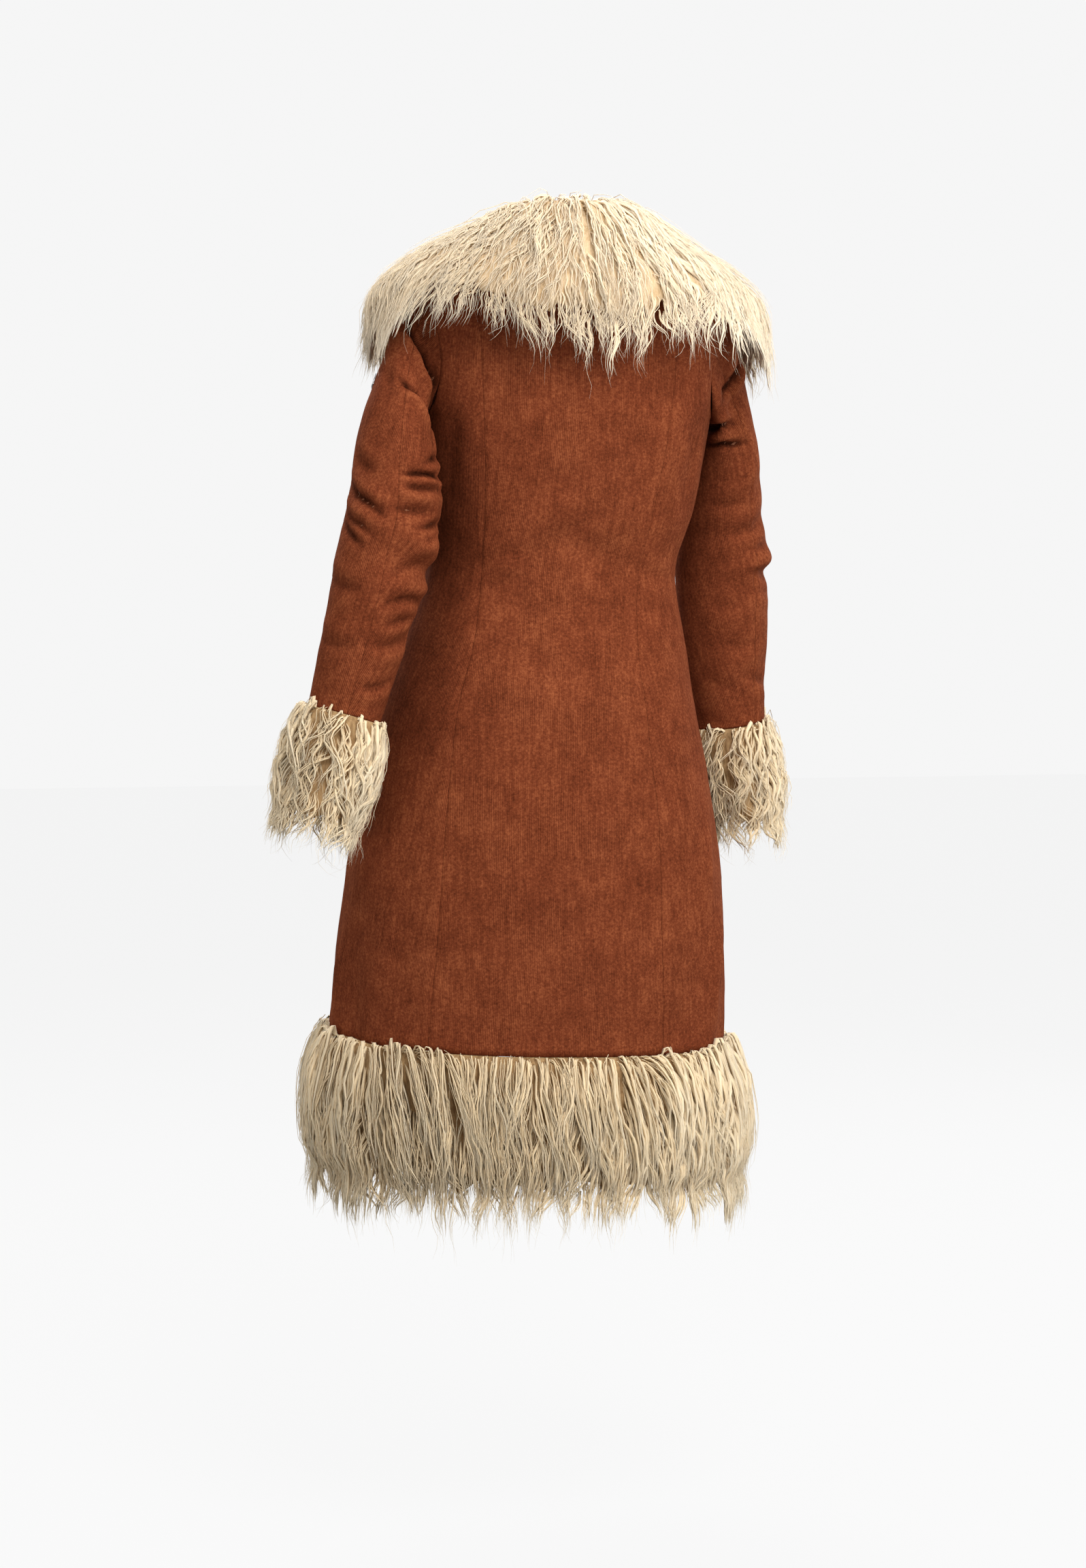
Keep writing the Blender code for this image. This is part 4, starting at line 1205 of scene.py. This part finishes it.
collarPile = {
    "sections": np.array([  # side, side z, back, back z, front, front z, pile
        (0.0800, 0.0105, 0.0740, 0.0365, 0.0800, -0.0155, 0.005),
        (0.0850, 0.0215, 0.0800, 0.0440, 0.0870, 0.0000, 0.012),
        (0.0960, 0.0205, 0.0930, 0.0420, 0.0990, 0.0050, 0.019),
        (0.1220, 0.0015, 0.1180, 0.0270, 0.1200, -0.0200, 0.023),
        (0.1570, -0.0200, 0.1360, -0.0010, 0.1370, -0.0600, 0.026),
        (0.1930, -0.0420, 0.1490, -0.0310, 0.1460, -0.1050, 0.026),
        (0.2240, -0.0710, 0.1570, -0.0620, 0.1500, -0.1400, 0.022),
        (0.2310, -0.1000, 0.1600, -0.0900, 0.1530, -0.1640, 0.010),
    ]),
    "shoulderFlat": 0.62,
    "raise": 0.0115,
    "trim": {"left": 0.15, "right": 0.14},  # cut shorter behind each shoulder
    "ground": 0.5,
    "hang": (0.014, 0.070),
    "density": 10400,
    "topCrowd": 1.9,
    "topReach": 0.045,
    "lowCrowd": 1.0,
    "layer": (0.50, 1.04),
    "tuft": 0.016,
    "gather": 0.42,
    "gatherLate": 2.0,
    "length": (0.075, 0.145),
    "halfWidth": (0.0017, 0.0038),
    "wave": 0.0028,
    "bend": 0.007,
    "waveLength": (0.028, 0.050),
    "lean": 0.28,
    "loose": 0.11,
    "sideHang": ((0.045, 0.115), (0.072, 0.108)),  # more behind each shoulder, how far in from the tip
    "leftTipTrim": 0.6,
    "droop": 0.6,  # how steeply the pile hangs past the edge
    "points": 13,
    "arch": 0.0,
}
lockShape = {  # the same for all the pile. Lengths in metres
    "lowReach": 0.030,  # how far up from the edge the locks crowd
    "tuftStretch": 1.5,  # a tuft is longer than it is wide
    "leanChange": (26.0, 30.0),  # how often the lean changes across and down
    "hangBias": 1.4,  # more short ones than long ones
    "hangShare": (0.55, 1.0),
    "sideReach": 0.056,
    "sideShare": (0.5, 1.0),
    "tipReach": 0.06,
    "tuftLength": (0.65, 0.35),  # how far a lock's length is its tuft's, and how far its own
    "edgeShorter": 0.22,
    "shortest": 0.034,
    "layerBias": 0.7,
    "rootClose": 1.3,  # points lie closer together at the root
    "seamReach": 0.012,  # where locks rise and turn over
    "billow": (0.6, 0.3, 60.0, 0.25),  # middle, swing, how often, chance
    "billowRange": (0.4, 1.3),
    "archShare": (0.7, 1.1),
    "archRise": 0.006,
    "archFade": 0.06,
    "straighten": 0.45,
    "bendTurns": 1.7,
    "wavePhase": 0.7,
    "waveShare": (0.4, 1.6),
    "waveStart": 0.025,
    "waveFade": 0.5,
    "waveLift": (0.6, 1.7),
    "rise": 0.014,
    "rootHeight": 0.2,
    "lowest": 0.0015,
    "tuftTint": 0.5,
}
patchSettings = {
    "rows": 40,
    "rise": 0.016,  # how far a patch is carried on above its seam
    "hang": 0.105,  # and below its lower edge
    "tailMiddle": 0.45,  # the part below hangs from the middle of the pile
    "tailEase": 6.0,  # rows it takes to get there
    "tailThin": 0.25,
}
scatterSteps = (0.7548776662466927, 0.5698402909980532)  # an even scatter in two directions


def evenRows(base, pile, count):  # the same grid with rows an even distance apart
    run = runAlong(base, 0)
    newBase, newPile = np.zeros((count, *base.shape[1:])), np.zeros((count, base.shape[1]))
    for c in range(base.shape[1]):
        at = np.linspace(0, run[-1, c], count)
        for k in range(3):
            newBase[:, c, k] = np.interp(at, run[:, c], base[:, c, k])
        newPile[:, c] = np.interp(at, run[:, c], pile[:, c])
    return newBase, newPile, run[-1]


def evenColumns(base, *others):  # columns an even distance apart, measured two thirds down
    run = runAlong(base[len(base) * 2 // 3], 0)
    at = np.interp(np.linspace(0, run[-1], len(run)), run, np.arange(len(run)))
    low = np.minimum(at.astype(int), len(run) - 2)
    part = at - low
    moved = []
    for grid in (base, *others):
        share = part if grid.ndim == 2 else part[:, None]
        moved.append(grid[:, low] * (1 - share) + grid[:, low + 1] * share)
    return moved


def makePatch(base, pile, like, down, closed):
    count = patchSettings["rows"]
    if down.ndim == 1:
        down = np.repeat(down[None], base.shape[1], 0)
    base, pile, down = evenColumns(base, pile, down[None])
    down = unit(down[0])
    base, pile, length = evenRows(base, pile, count)
    wrap = np.concatenate([base[:, -2:-1], base, base[:, 1:2]], axis=1) if closed else base
    normal = unit(np.cross(np.gradient(wrap, axis=0), np.gradient(wrap, axis=1)))
    normal = normal[:, 1:-1] if closed else normal
    normal *= 1 if np.sum(normal * like) > 0 else -1
    step = length.mean() / (count - 1)
    above = int(round(patchSettings["rise"] / step))
    below = int(round(patchSettings["hang"] / step))
    lift = np.arange(above, 0, -1)[:, None, None] * step
    drop = np.arange(1, below + 1)[:, None, None] * step
    middle = base[-1] + normal[-1] * (pile[-1] * patchSettings["tailMiddle"])[:, None]
    ease = np.clip(np.arange(1, below + 1) / patchSettings["tailEase"], 0, 1)[:, None, None]
    tail = base[-1] * (1 - ease) + middle * ease + down * drop
    tailPile = pile[-1][None] * np.linspace(1, patchSettings["tailThin"], below)[:, None]
    base = np.concatenate([base[0] + unit(base[0] - base[1]) * lift, base, tail])
    normal = np.concatenate([np.repeat(normal[:1], above, 0), normal, np.repeat(normal[-1:], below, 0)])
    pile = np.concatenate([np.repeat(pile[:1], above, 0), pile, tailPile])
    width = np.linalg.norm(np.diff(base, axis=1), axis=-1).sum(1)
    return {"base": base, "normal": normal, "pile": pile, "width": width, "step": step, "above": above,
            "rows": count, "length": (count - 1) * step, "closed": closed}


def sample(patch, field, u, t):  # t in metres down from the seam
    grid = patch[field]
    rows, columns = grid.shape[:2]
    r = np.clip(t / patch["step"] + patch["above"], 0, rows - 1.001)
    c = np.mod(u, 1.0) if patch["closed"] else np.clip(u, 0, 1)
    c = np.clip(c * (columns - 1), 0, columns - 1.001)
    r0, c0 = r.astype(int), c.astype(int)
    fr, fc = r - r0, c - c0
    if grid.ndim == 3:
        fr, fc = fr[..., None], fc[..., None]
    return (
        grid[r0, c0] * (1 - fr) * (1 - fc) + grid[r0, c0 + 1] * (1 - fr) * fc
        + grid[r0 + 1, c0] * fr * (1 - fc) + grid[r0 + 1, c0 + 1] * fr * fc
    )


def rowWidth(patch, t):
    r = np.clip(t / patch["step"] + patch["above"], 0, len(patch["width"]) - 1)
    return np.interp(r, np.arange(len(patch["width"])), patch["width"])


def softField(u, v, seed):  # slow, smooth changes over a patch, from about -1 to 1
    chance = np.random.RandomState(seed)
    waves, gain = 9, 1.2
    total = np.zeros(np.broadcast(u, v).shape)
    for _ in range(waves):
        fu, fv = chance.normal(0, 1.0, 2)
        total = total + np.sin(fu * u + fv * v + chance.uniform(0, fullTurn))
    return total / math.sqrt(waves) * gain


def scatter(count, startU, startT):
    order = np.arange(count)
    return [np.mod(start + order * step, 1.0) for start, step in zip((startU, startT), scatterSteps)]


def growLocks(patch, settings, seed):
    chance = np.random.RandomState(seed)
    length = patch["length"]
    depth = np.linspace(0, length, 200)
    even = rowWidth(patch, depth)
    atTop = settings["topCrowd"] * np.exp(-depth / settings["topReach"])
    crowd = even * (1 + atTop + settings["lowCrowd"] * np.exp((depth - length) / lockShape["lowReach"]))
    crowd = np.cumsum(crowd) / crowd.sum()
    count = int(even.mean() * length * settings["density"])
    u, down = scatter(count, 0.5, 0.5)
    t0 = np.interp(down, crowd, depth)
    pace = np.linspace(0, 1, settings["points"])[None]
    wide = rowWidth(patch, np.array([length]))[0]

    # locks gather in tufts, and each tuft shares its lean, its bend and its length
    stretch = lockShape["tuftStretch"]
    tufts = int(even.mean() * length / settings["tuft"] ** 2 / stretch)
    tuftU, down = scatter(tufts, 0.37, 0.11)
    tuftT = np.interp(down, crowd, depth)
    gapU = u[:, None] - tuftU[None]
    if patch["closed"]:
        gapU = np.mod(gapU + 0.5, 1.0) - 0.5
    gapU = gapU * rowWidth(patch, t0)[:, None]
    pick = (gapU**2 + ((t0[:, None] - tuftT[None]) / stretch) ** 2).argmin(1)
    toTuft = -gapU[np.arange(count), pick]
    oftenU, oftenT = lockShape["leanChange"]
    tuftLean = softField(tuftU * wide * oftenU, tuftT * oftenT, seed + 1) * settings["lean"]
    tuftLean = tuftLean + chance.normal(0, 2 * settings["loose"], tufts)
    tuftBend = chance.normal(0, 1.0, tufts)
    tuftPhase = chance.uniform(0, fullTurn, tufts)
    tuftLong = chance.uniform(0, 1, tufts)
    least, most = settings["hang"]
    tuftHang = least + (most - least) * chance.uniform(0, 1, tufts) ** lockShape["hangBias"]
    middle, swell, often, stray = lockShape["billow"]
    billow = middle + swell * softField(tuftU * wide * often, 0 * tuftU, seed + 3)
    tuftArch = np.clip(billow + chance.normal(0, stray, tufts), *lockShape["billowRange"]) * settings["arch"]
    tuftTint = chance.uniform(0, 1, tufts)

    hang = tuftHang[pick] * chance.uniform(*lockShape["hangShare"], count)
    if "sideHang" in settings:
        line = patch["base"][patch["above"] + patch["rows"] - 1, :, 0]
        for end, (more, far), inward in zip((line.argmax(), line.argmin()), settings["sideHang"], (1, -1)):
            middle = end / (len(line) - 1) + inward * far / wide
            longer = more * bell((u - middle) * wide, lockShape["sideReach"])
            hang += longer * chance.uniform(*lockShape["sideShare"], count)
        leftTip = line.argmax() / (len(line) - 1)
        hang *= 1 - settings["leftTipTrim"] * bell((u - leftTip) * wide, lockShape["tipReach"])
    short, long = settings["length"]
    shared, own = lockShape["tuftLength"]
    size = short + (long - short) * (shared * tuftLong[pick] + own * chance.uniform(0, 1, count))
    size = size * (1 - lockShape["edgeShorter"] * (t0 / length))
    size = np.maximum(np.minimum(size, length + hang - t0), lockShape["shortest"])
    low, high = settings["layer"]
    layer = low + (high - low) * chance.uniform(0.0, 1.0, count) ** lockShape["layerBias"]

    # where each point lies on the patch: down it, and sideways
    s = size[:, None] * pace ** lockShape["rootClose"]
    atSeam = np.clip(1 - t0 / lockShape["seamReach"], 0, 1)[:, None]
    arch = tuftArch[pick][:, None] * atSeam * chance.uniform(*lockShape["archShare"], count)[:, None]
    t = t0[:, None] + s - arch * (1 - np.exp(-s / lockShape["archRise"])) * np.exp(-s / lockShape["archFade"])
    lean = tuftLean[pick] + chance.normal(0, settings["loose"], count)
    sideways = lean[:, None] * size[:, None] * (pace - lockShape["straighten"] * pace**2)
    bend = tuftBend[pick][:, None] * settings["bend"]
    sideways += bend * np.sin(pace * math.pi * lockShape["bendTurns"]) * pace
    sideways += toTuft[:, None] * settings["gather"] * pace ** settings["gatherLate"]
    waveLength = chance.uniform(*settings["waveLength"], count)[:, None]
    phase = (tuftPhase[pick] + chance.normal(0, lockShape["wavePhase"], count))[:, None]
    swing = settings["wave"] * chance.uniform(*lockShape["waveShare"], count)[:, None]
    swing = swing * np.clip(s / lockShape["waveStart"], 0, 1) * (1 - lockShape["waveFade"] * pace)
    sideways += swing * np.sin(2 * math.pi * s / waveLength + phase)
    where = u[:, None] + sideways / rowWidth(patch, np.clip(t, 0, None))

    # and how high it stands in the pile
    pile = sample(patch, "pile", where, np.maximum(t, lockShape["seamReach"]))
    rise = 1 - np.exp(-s / lockShape["rise"])
    root = lockShape["rootHeight"]
    height = pile * layer[:, None] * (root + (1 - root) * rise)
    liftShare, liftPhase = lockShape["waveLift"]
    height += swing * liftShare * np.cos(2 * math.pi * s / waveLength + phase * liftPhase)
    height = np.maximum(height, lockShape["lowest"])
    face = sample(patch, "normal", where, t)
    points = sample(patch, "base", where, t) + face * (pileBack + height)[..., None]
    girth = chance.uniform(*settings["halfWidth"], count)[:, None]
    # a lock swells a little and then runs to a point
    taper = (0.85 + 0.35 * pace - 0.2 * pace**2) * (1 - pace**2.2) ** 0.95 + 0.02
    same = lockShape["tuftTint"]
    tint = same * tuftTint[pick] + (1 - same) * chance.uniform(0, 1, count)
    colourPace = pace + (1 - pace) * (0.12 + 0.4 * atSeam)  # roots at the seam, where the locks rise over it, get less painted shade and are paler
    return points, unit(face), girth * taper, tint[:, None] * np.ones_like(pace), colourPace


strandShape = {
    "perLock": 2,
    "width": 0.0006,
    "stray": 0.006,
    "overshoot": 0.020,
    "flatness": 0.4,  # of the locks they stray from
    "roundness": 0.8,  # and their own
    "sway": 0.0017,
    "points": 8,
}


def makeLockTree():
    # each guide line becomes a tapering lock, and finer strands stray round it
    tree = bpy.data.node_groups.new("furLocks", "GeometryNodeTree")
    tree.is_modifier = True
    face = tree.interface
    face.new_socket(name="Geometry", in_out="INPUT", socket_type="NodeSocketGeometry")
    for label, kind, value in (
        ("Strands", "NodeSocketInt", strandShape["perLock"]),
        ("Strand Width", "NodeSocketFloat", strandShape["width"]),
        ("Stray", "NodeSocketFloat", strandShape["stray"]),
        ("Overshoot", "NodeSocketFloat", strandShape["overshoot"]),
        ("Flatness", "NodeSocketFloat", strandShape["flatness"]),
        ("Seed", "NodeSocketInt", 3),
        ("Fur", "NodeSocketMaterial", None),
    ):
        socket = face.new_socket(name=label, in_out="INPUT", socket_type=kind)
        if value is not None:
            socket.default_value = value
    face.new_socket(name="Geometry", in_out="OUTPUT", socket_type="NodeSocketGeometry")
    w = Wires(tree)
    given, made = tree.nodes.new("NodeGroupInput"), tree.nodes.new("NodeGroupOutput")

    def named(label, kind):
        return w.add("GeometryNodeInputNamedAttribute", {"Name": label}, data_type=kind).outputs[0]

    guides = w.add("GeometryNodeMeshToCurve", {0: given.outputs["Geometry"]}).outputs[0]
    pace, width = named("along", "FLOAT"), named("width", "FLOAT")
    normal = named("face", "FLOAT_VECTOR")

    def sweep(curve, profile, scale):
        turned = w.add("GeometryNodeSetCurveNormal", {"Curve": curve, "Normal": normal}, mode="FREE").outputs[0]
        values = {"Curve": turned, "Profile Curve": profile, "Scale": scale}
        return w.add("GeometryNodeCurveToMesh", values).outputs[0]

    def ring(resolution, flat):
        circle = w.add("GeometryNodeCurvePrimitiveCircle", {0: resolution, 4: 1.0}).outputs[0]
        spun = w.add("GeometryNodeTransform", {"Geometry": circle, "Rotation": (0, 0, math.pi / 2)}).outputs[0]
        squash = w.add("ShaderNodeCombineXYZ", {0: 1.0, 1: flat, 2: 1.0}).outputs[0]
        sized = w.add("GeometryNodeTransform", {"Geometry": spun, "Scale": squash}).outputs[0]
        spot = w.add("ShaderNodeSeparateXYZ", {0: w.add("GeometryNodeInputPosition").outputs[0]}).outputs["X"]
        values = {"Geometry": sized, "Name": "across", "Value": spot}
        return w.add("GeometryNodeStoreNamedAttribute", values, data_type="FLOAT", domain="POINT").outputs[0]

    locks = sweep(guides, ring(3, given.outputs["Flatness"]), width)

    values = {"Geometry": guides, "Amount": given.outputs["Strands"]}
    copies = w.add("GeometryNodeDuplicateElements", values, domain="SPLINE").outputs[0]
    index = w.add("GeometryNodeInputIndex").outputs[0]
    order = w.add("GeometryNodeFieldOnDomain", {0: index}, data_type="INT", domain="CURVE").outputs[0]

    def chance(low, high, step):
        seed = w.plus(given.outputs["Seed"], float(step))
        values = {2: low, 3: high, "ID": order, "Seed": seed}
        return w.add("FunctionNodeRandomValue", values, data_type="FLOAT").outputs[1]

    tangent = w.add("GeometryNodeInputTangent").outputs[0]
    lateral = w.vector("NORMALIZE", w.vector("CROSS_PRODUCT", tangent, normal))
    stray = w.times(w.plus(w.times(pace, 0.75), 0.25), given.outputs["Stray"])
    sway = w.math("SINE", w.plus(w.times(pace, chance(9.0, 19.0, 4)), chance(0.0, fullTurn, 5)))
    sway = w.times(w.times(sway, strandShape["sway"]), w.math("MINIMUM", w.times(pace, 3.0), 1.0))
    shift = w.scaled(lateral, w.plus(w.times(stray, chance(-1.0, 1.0, 1)), sway))
    # a few strands stand far off or run far past the tip
    loose = w.plus(chance(-0.2, 0.5, 2), w.times(w.math("POWER", chance(0.0, 1.0, 9), 4.0), 1.8))
    lift = w.scaled(normal, w.times(stray, loose))
    far = w.times(w.math("POWER", chance(0.0, 1.0, 8), 3.0), 1.3)
    far = w.plus(w.times(chance(-1.0, 1.0, 3), 0.5), far)
    far = w.times(w.times(w.math("POWER", pace, 2.0), far), given.outputs["Overshoot"])
    offset = w.vector("ADD", w.vector("ADD", shift, lift), w.scaled(tangent, far))
    moved = w.add("GeometryNodeSetPosition", {"Geometry": copies, "Offset": offset}).outputs[0]
    sparse = w.add("GeometryNodeResampleCurve", {"Curve": moved, "Count": strandShape["points"]}).outputs[0]
    taper = w.math("SUBTRACT", 1.06, w.math("POWER", pace, 1.8))
    thin = w.times(w.times(given.outputs["Strand Width"], taper), chance(0.6, 1.5, 6))
    values = {"Geometry": sparse, "Name": "tint", "Value": chance(0.35, 1.0, 7)}
    tinted = w.add("GeometryNodeStoreNamedAttribute", values, data_type="FLOAT", domain="CURVE").outputs[0]
    strands = sweep(tinted, ring(3, strandShape["roundness"]), thin)

    both = w.add("GeometryNodeJoinGeometry")
    w.feed(both.inputs[0], locks)
    w.feed(both.inputs[0], strands)
    smooth = w.add("GeometryNodeSetShadeSmooth", {"Geometry": both.outputs[0]}).outputs[0]
    real = w.add("GeometryNodeRealizeInstances", {"Geometry": smooth}).outputs[0]
    values = {"Geometry": real, "Material": given.outputs["Fur"]}
    w.feed(made.inputs[0], w.add("GeometryNodeSetMaterial", values).outputs[0])
    return tree


lockTree = makeLockTree()


def makeFurPiece(name, grown, material, seed):
    points, face, width, tint, pace = (values.astype(np.float32) for values in grown)
    count, each = points.shape[:2]
    index = np.arange(count * each).reshape(count, each)
    links = np.stack([index[:, :-1].ravel(), index[:, 1:].ravel()], -1)
    guide = bpy.data.meshes.new(name + "Guides")
    guide.from_pydata(points.reshape(-1, 3).tolist(), links.tolist(), [])
    for label, values in (("along", pace), ("tint", tint), ("width", width)):
        guide.attributes.new(label, "FLOAT", "POINT").data.foreach_set("value", values.ravel())
    guide.attributes.new("face", "FLOAT_VECTOR", "POINT").data.foreach_set("vector", face.ravel())
    piece = addObject(name, guide)
    grow = piece.modifiers.new("locks", "NODES")
    grow.node_group = lockTree
    ids = {s.name: s.identifier for s in lockTree.interface.items_tree if s.in_out == "INPUT"}
    grow[ids["Seed"]] = seed
    grow[ids["Fur"]] = material
    done = bpy.data.meshes.new_from_object(piece.evaluated_get(bpy.context.evaluated_depsgraph_get()))
    piece.modifiers.clear()
    piece.data = done
    done.name = name
    bpy.data.meshes.remove(guide)
    print(name, count, "locks", sum(len(p.vertices) - 2 for p in done.polygons), "triangles")
    return piece


groundShape = {
    "rows": 15,
    "reach": 0.94,  # how far down the pile it goes
    "ragged": 0.007,
    "raggedOften": 220.0,
    "lumps": (7, 0.012, 0.03),  # count, shortest, longest
    "lumpHeight": 0.07,
    "range": (0.2, 0.62),  # lowest and highest in the pile
    "inside": 0.0002,  # clear of the backing
    "weld": 0.0001,
}


def makeUndercoatShell(name, patch, material, height, seed):
    # the woolly ground that the locks stand on, with an uneven lower edge
    share = np.linspace(0, 1, groundShape["rows"])[:, None]
    u = np.linspace(0, 1, patch["base"].shape[1])[None]
    ragged = softField(u * patch["width"][-1] * groundShape["raggedOften"], 0 * u, seed + 5)
    ragged = ragged * groundShape["ragged"]
    if patch["closed"]:
        ragged[:, -1] = ragged[:, 0]
    t = share * (patch["length"] * groundShape["reach"] + ragged * share**4)
    u = u * np.ones_like(t) * 0.999999
    base, normal, pile = (sample(patch, field, u, t) for field in ("base", "normal", "pile"))
    lump = height + groundShape["lumpHeight"] * waveSum(base, *groundShape["lumps"], seed)
    outer = base + normal * (pileBack + pile * np.clip(lump, *groundShape["range"]))[..., None]
    inner = base + normal * groundShape["inside"]
    r, c = base.shape[:2]
    front = np.arange(r * c).reshape(r, c)
    back = front + r * c

    def strip(a, b):  # quads between two rows of points
        return [(a[k], a[k + 1], b[k + 1], b[k]) for k in range(c - 1)]

    faces = []
    for k in range(r - 1):
        faces += strip(front[k], front[k + 1]) + strip(back[k + 1], back[k])
    faces += strip(back[0], front[0]) + strip(front[-1], back[-1])
    if not patch["closed"]:
        for col, flip in ((0, False), (c - 1, True)):
            for k in range(r - 1):
                quad = (front[k, col], front[k + 1, col], back[k + 1, col], back[k, col])
                faces.append(quad[::-1] if flip else quad)
    points = np.concatenate([outer.reshape(-1, 3), inner.reshape(-1, 3)])
    one = [points[v] for v in faces[0]]
    if np.cross(one[1] - one[0], one[2] - one[0]) @ normal[0, 0] < 0:
        faces = [f[::-1] for f in faces]
    mesh = bpy.data.meshes.new(name)
    mesh.from_pydata(points.tolist(), [], [tuple(map(int, f)) for f in faces])
    if patch["closed"]:  # the first and last columns are the same line
        weld = bmesh.new()
        weld.from_mesh(mesh)
        bmesh.ops.remove_doubles(weld, verts=weld.verts, dist=groundShape["weld"])
        weld.to_mesh(mesh)
        weld.free()
    mesh.materials.append(material)
    mesh.shade_smooth()
    return addObject(name, mesh)


def finishPile(node, name, patch, kind, settings, seed, halves=1, share=1.0):
    locks, ground = pileFinish[kind]
    shell = makeUndercoatShell(name + "Ground", patch, ground, settings["ground"], seed)
    grown = growLocks(patch, {**settings, "density": settings["density"] * share}, seed)
    pieces = []
    if halves == 1:
        pieces.append(makeFurPiece(name + "Locks", grown, locks, seed))
    else:
        roots = grown[0][:, 0, 0]
        left = roots >= np.median(roots)
        for title, pick in (("Left", left), ("Right", ~left)):
            pieces.append(makeFurPiece(name + title + "Locks", [g[pick] for g in grown], locks, seed))
    for piece in (shell, *pieces):
        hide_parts(node)
        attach(piece, "root")


def pileProfile(sections):  # drops from the seam, and the widening and the pile at each
    drops = np.linspace(0, sections[-1, 0], 60)
    return drops, *(np.interp(drops, sections[:, 0], sections[:, k]) for k in (1, 2))


def hemPatch(start, end):
    columns = max(int((end - start) * 0.22 / 0.008), 20)  # about one each 8 mm
    angle = np.linspace(start, end, columns)
    none = np.zeros(columns)
    outward = bodyNormal(angle, none)
    seam = bodyPoint(angle, none) - (clothWall - pileBack) * outward
    outward = outward * [1, 1, 0]
    drops, widen, pile = pileProfile(hemPile["sections"])
    base = seam + outward * (widen - pileBack)[:, None, None]
    base = base - np.array([0, 0, 1.0]) * (drops + 2 * seamGap)[:, None, None]
    like = np.repeat(outward[None], patchSettings["rows"], 0)
    return makePatch(base, pile[:, None] * np.ones((1, columns)), like, np.array([0, 0, -1.0]), False)


def cuffPatch(side):
    columns = 41
    turn = np.linspace(0, 2 * math.pi, columns)
    end = np.full(columns, float(len(sleeveCut[side]) - 1))
    drops, widen, pile = pileProfile(cuffPile["sections"])
    base = []
    for drop, wide in zip(drops, widen):
        ring, down = armRing(side, turn, end, wide - pileBack)
        base.append(ring + down * (drop + seamGap))
    base = np.stack(base)
    like = np.repeat(unit(base[0] - base[0].mean(0))[None], patchSettings["rows"], 0)
    return makePatch(base, pile[:, None] * np.ones((1, columns)), like, down, True)


def collarPatch():
    table = collarPile["sections"]
    columns = 161
    opening = frontAngle(np.array([float(bodyCut["neckline"])]))[0]
    angle = np.linspace(opening, math.pi - opening, columns)
    across, deep = oval(angle)
    rows = np.linspace(0, len(table) - 1, 80)[:, None]
    pile = along(table[:, 6], rows)
    trim = np.where(np.cos(angle) > 0, collarPile["trim"]["left"], collarPile["trim"]["right"])
    rows = rows * (1 - np.where(deep > 0, trim * np.sin(2 * angle) ** 2, 0))
    side, sideZ, back, backZ, front, frontZ = (along(table[:, k], rows) for k in range(6))
    depth = np.where(deep > 0, back, front)
    tilt = (backZ - frontZ) / 2
    bow = (backZ + frontZ) / 2 - sideZ
    lean = collarPile["raise"] * np.minimum((side - table[0, 0]) / table[0, 0], 1)
    z = sideZ + lean * np.cos(angle) + tilt * np.sin(angle) + bow * np.sin(angle) ** 2 + seamGap
    base = stack(side * across, depth * deep, z)
    flat = 1 - collarPile["shoulderFlat"] * unit(base[-1, :, :2])[:, 0] ** 2
    down = unit(unit(base[-1] - base[-6]) + [0, 0, -collarPile["droop"]])
    like = np.zeros((patchSettings["rows"], columns, 3))
    like[patchSettings["rows"] // 2:] = unit(base[-1] * [1, 1, 0]) + [0, 0, 1.0]
    return makePatch(base, pile * flat, like, down, False)


opening = -frontAngle(np.zeros(1))[0]
edgeGap = seamGap / 2 / bodyCut["sections"][0, 1]
halfTurn = math.pi
finishPile("hem_pile_back", "hemBack", hemPatch(edgeGap, halfTurn - edgeGap), "hem", hemPile, 31,
           halves=2)
finishPile("hem_pile_left", "hemLeft", hemPatch(-opening + edgeGap, -edgeGap), "hem", hemPile, 32,
           share=0.72)
finishPile("hem_pile_right", "hemRight", hemPatch(halfTurn + edgeGap, halfTurn + opening - edgeGap), "hem",
           hemPile, 33, share=0.72)
finishPile("cuff_left", "cuffLeft", cuffPatch("left"), "hem", cuffPile, 34)
finishPile("cuff_right", "cuffRight", cuffPatch("right"), "hem", cuffPile, 35)
finishPile("collar", "collar", collarPatch(), "collar", collarPile, 36, halves=2)
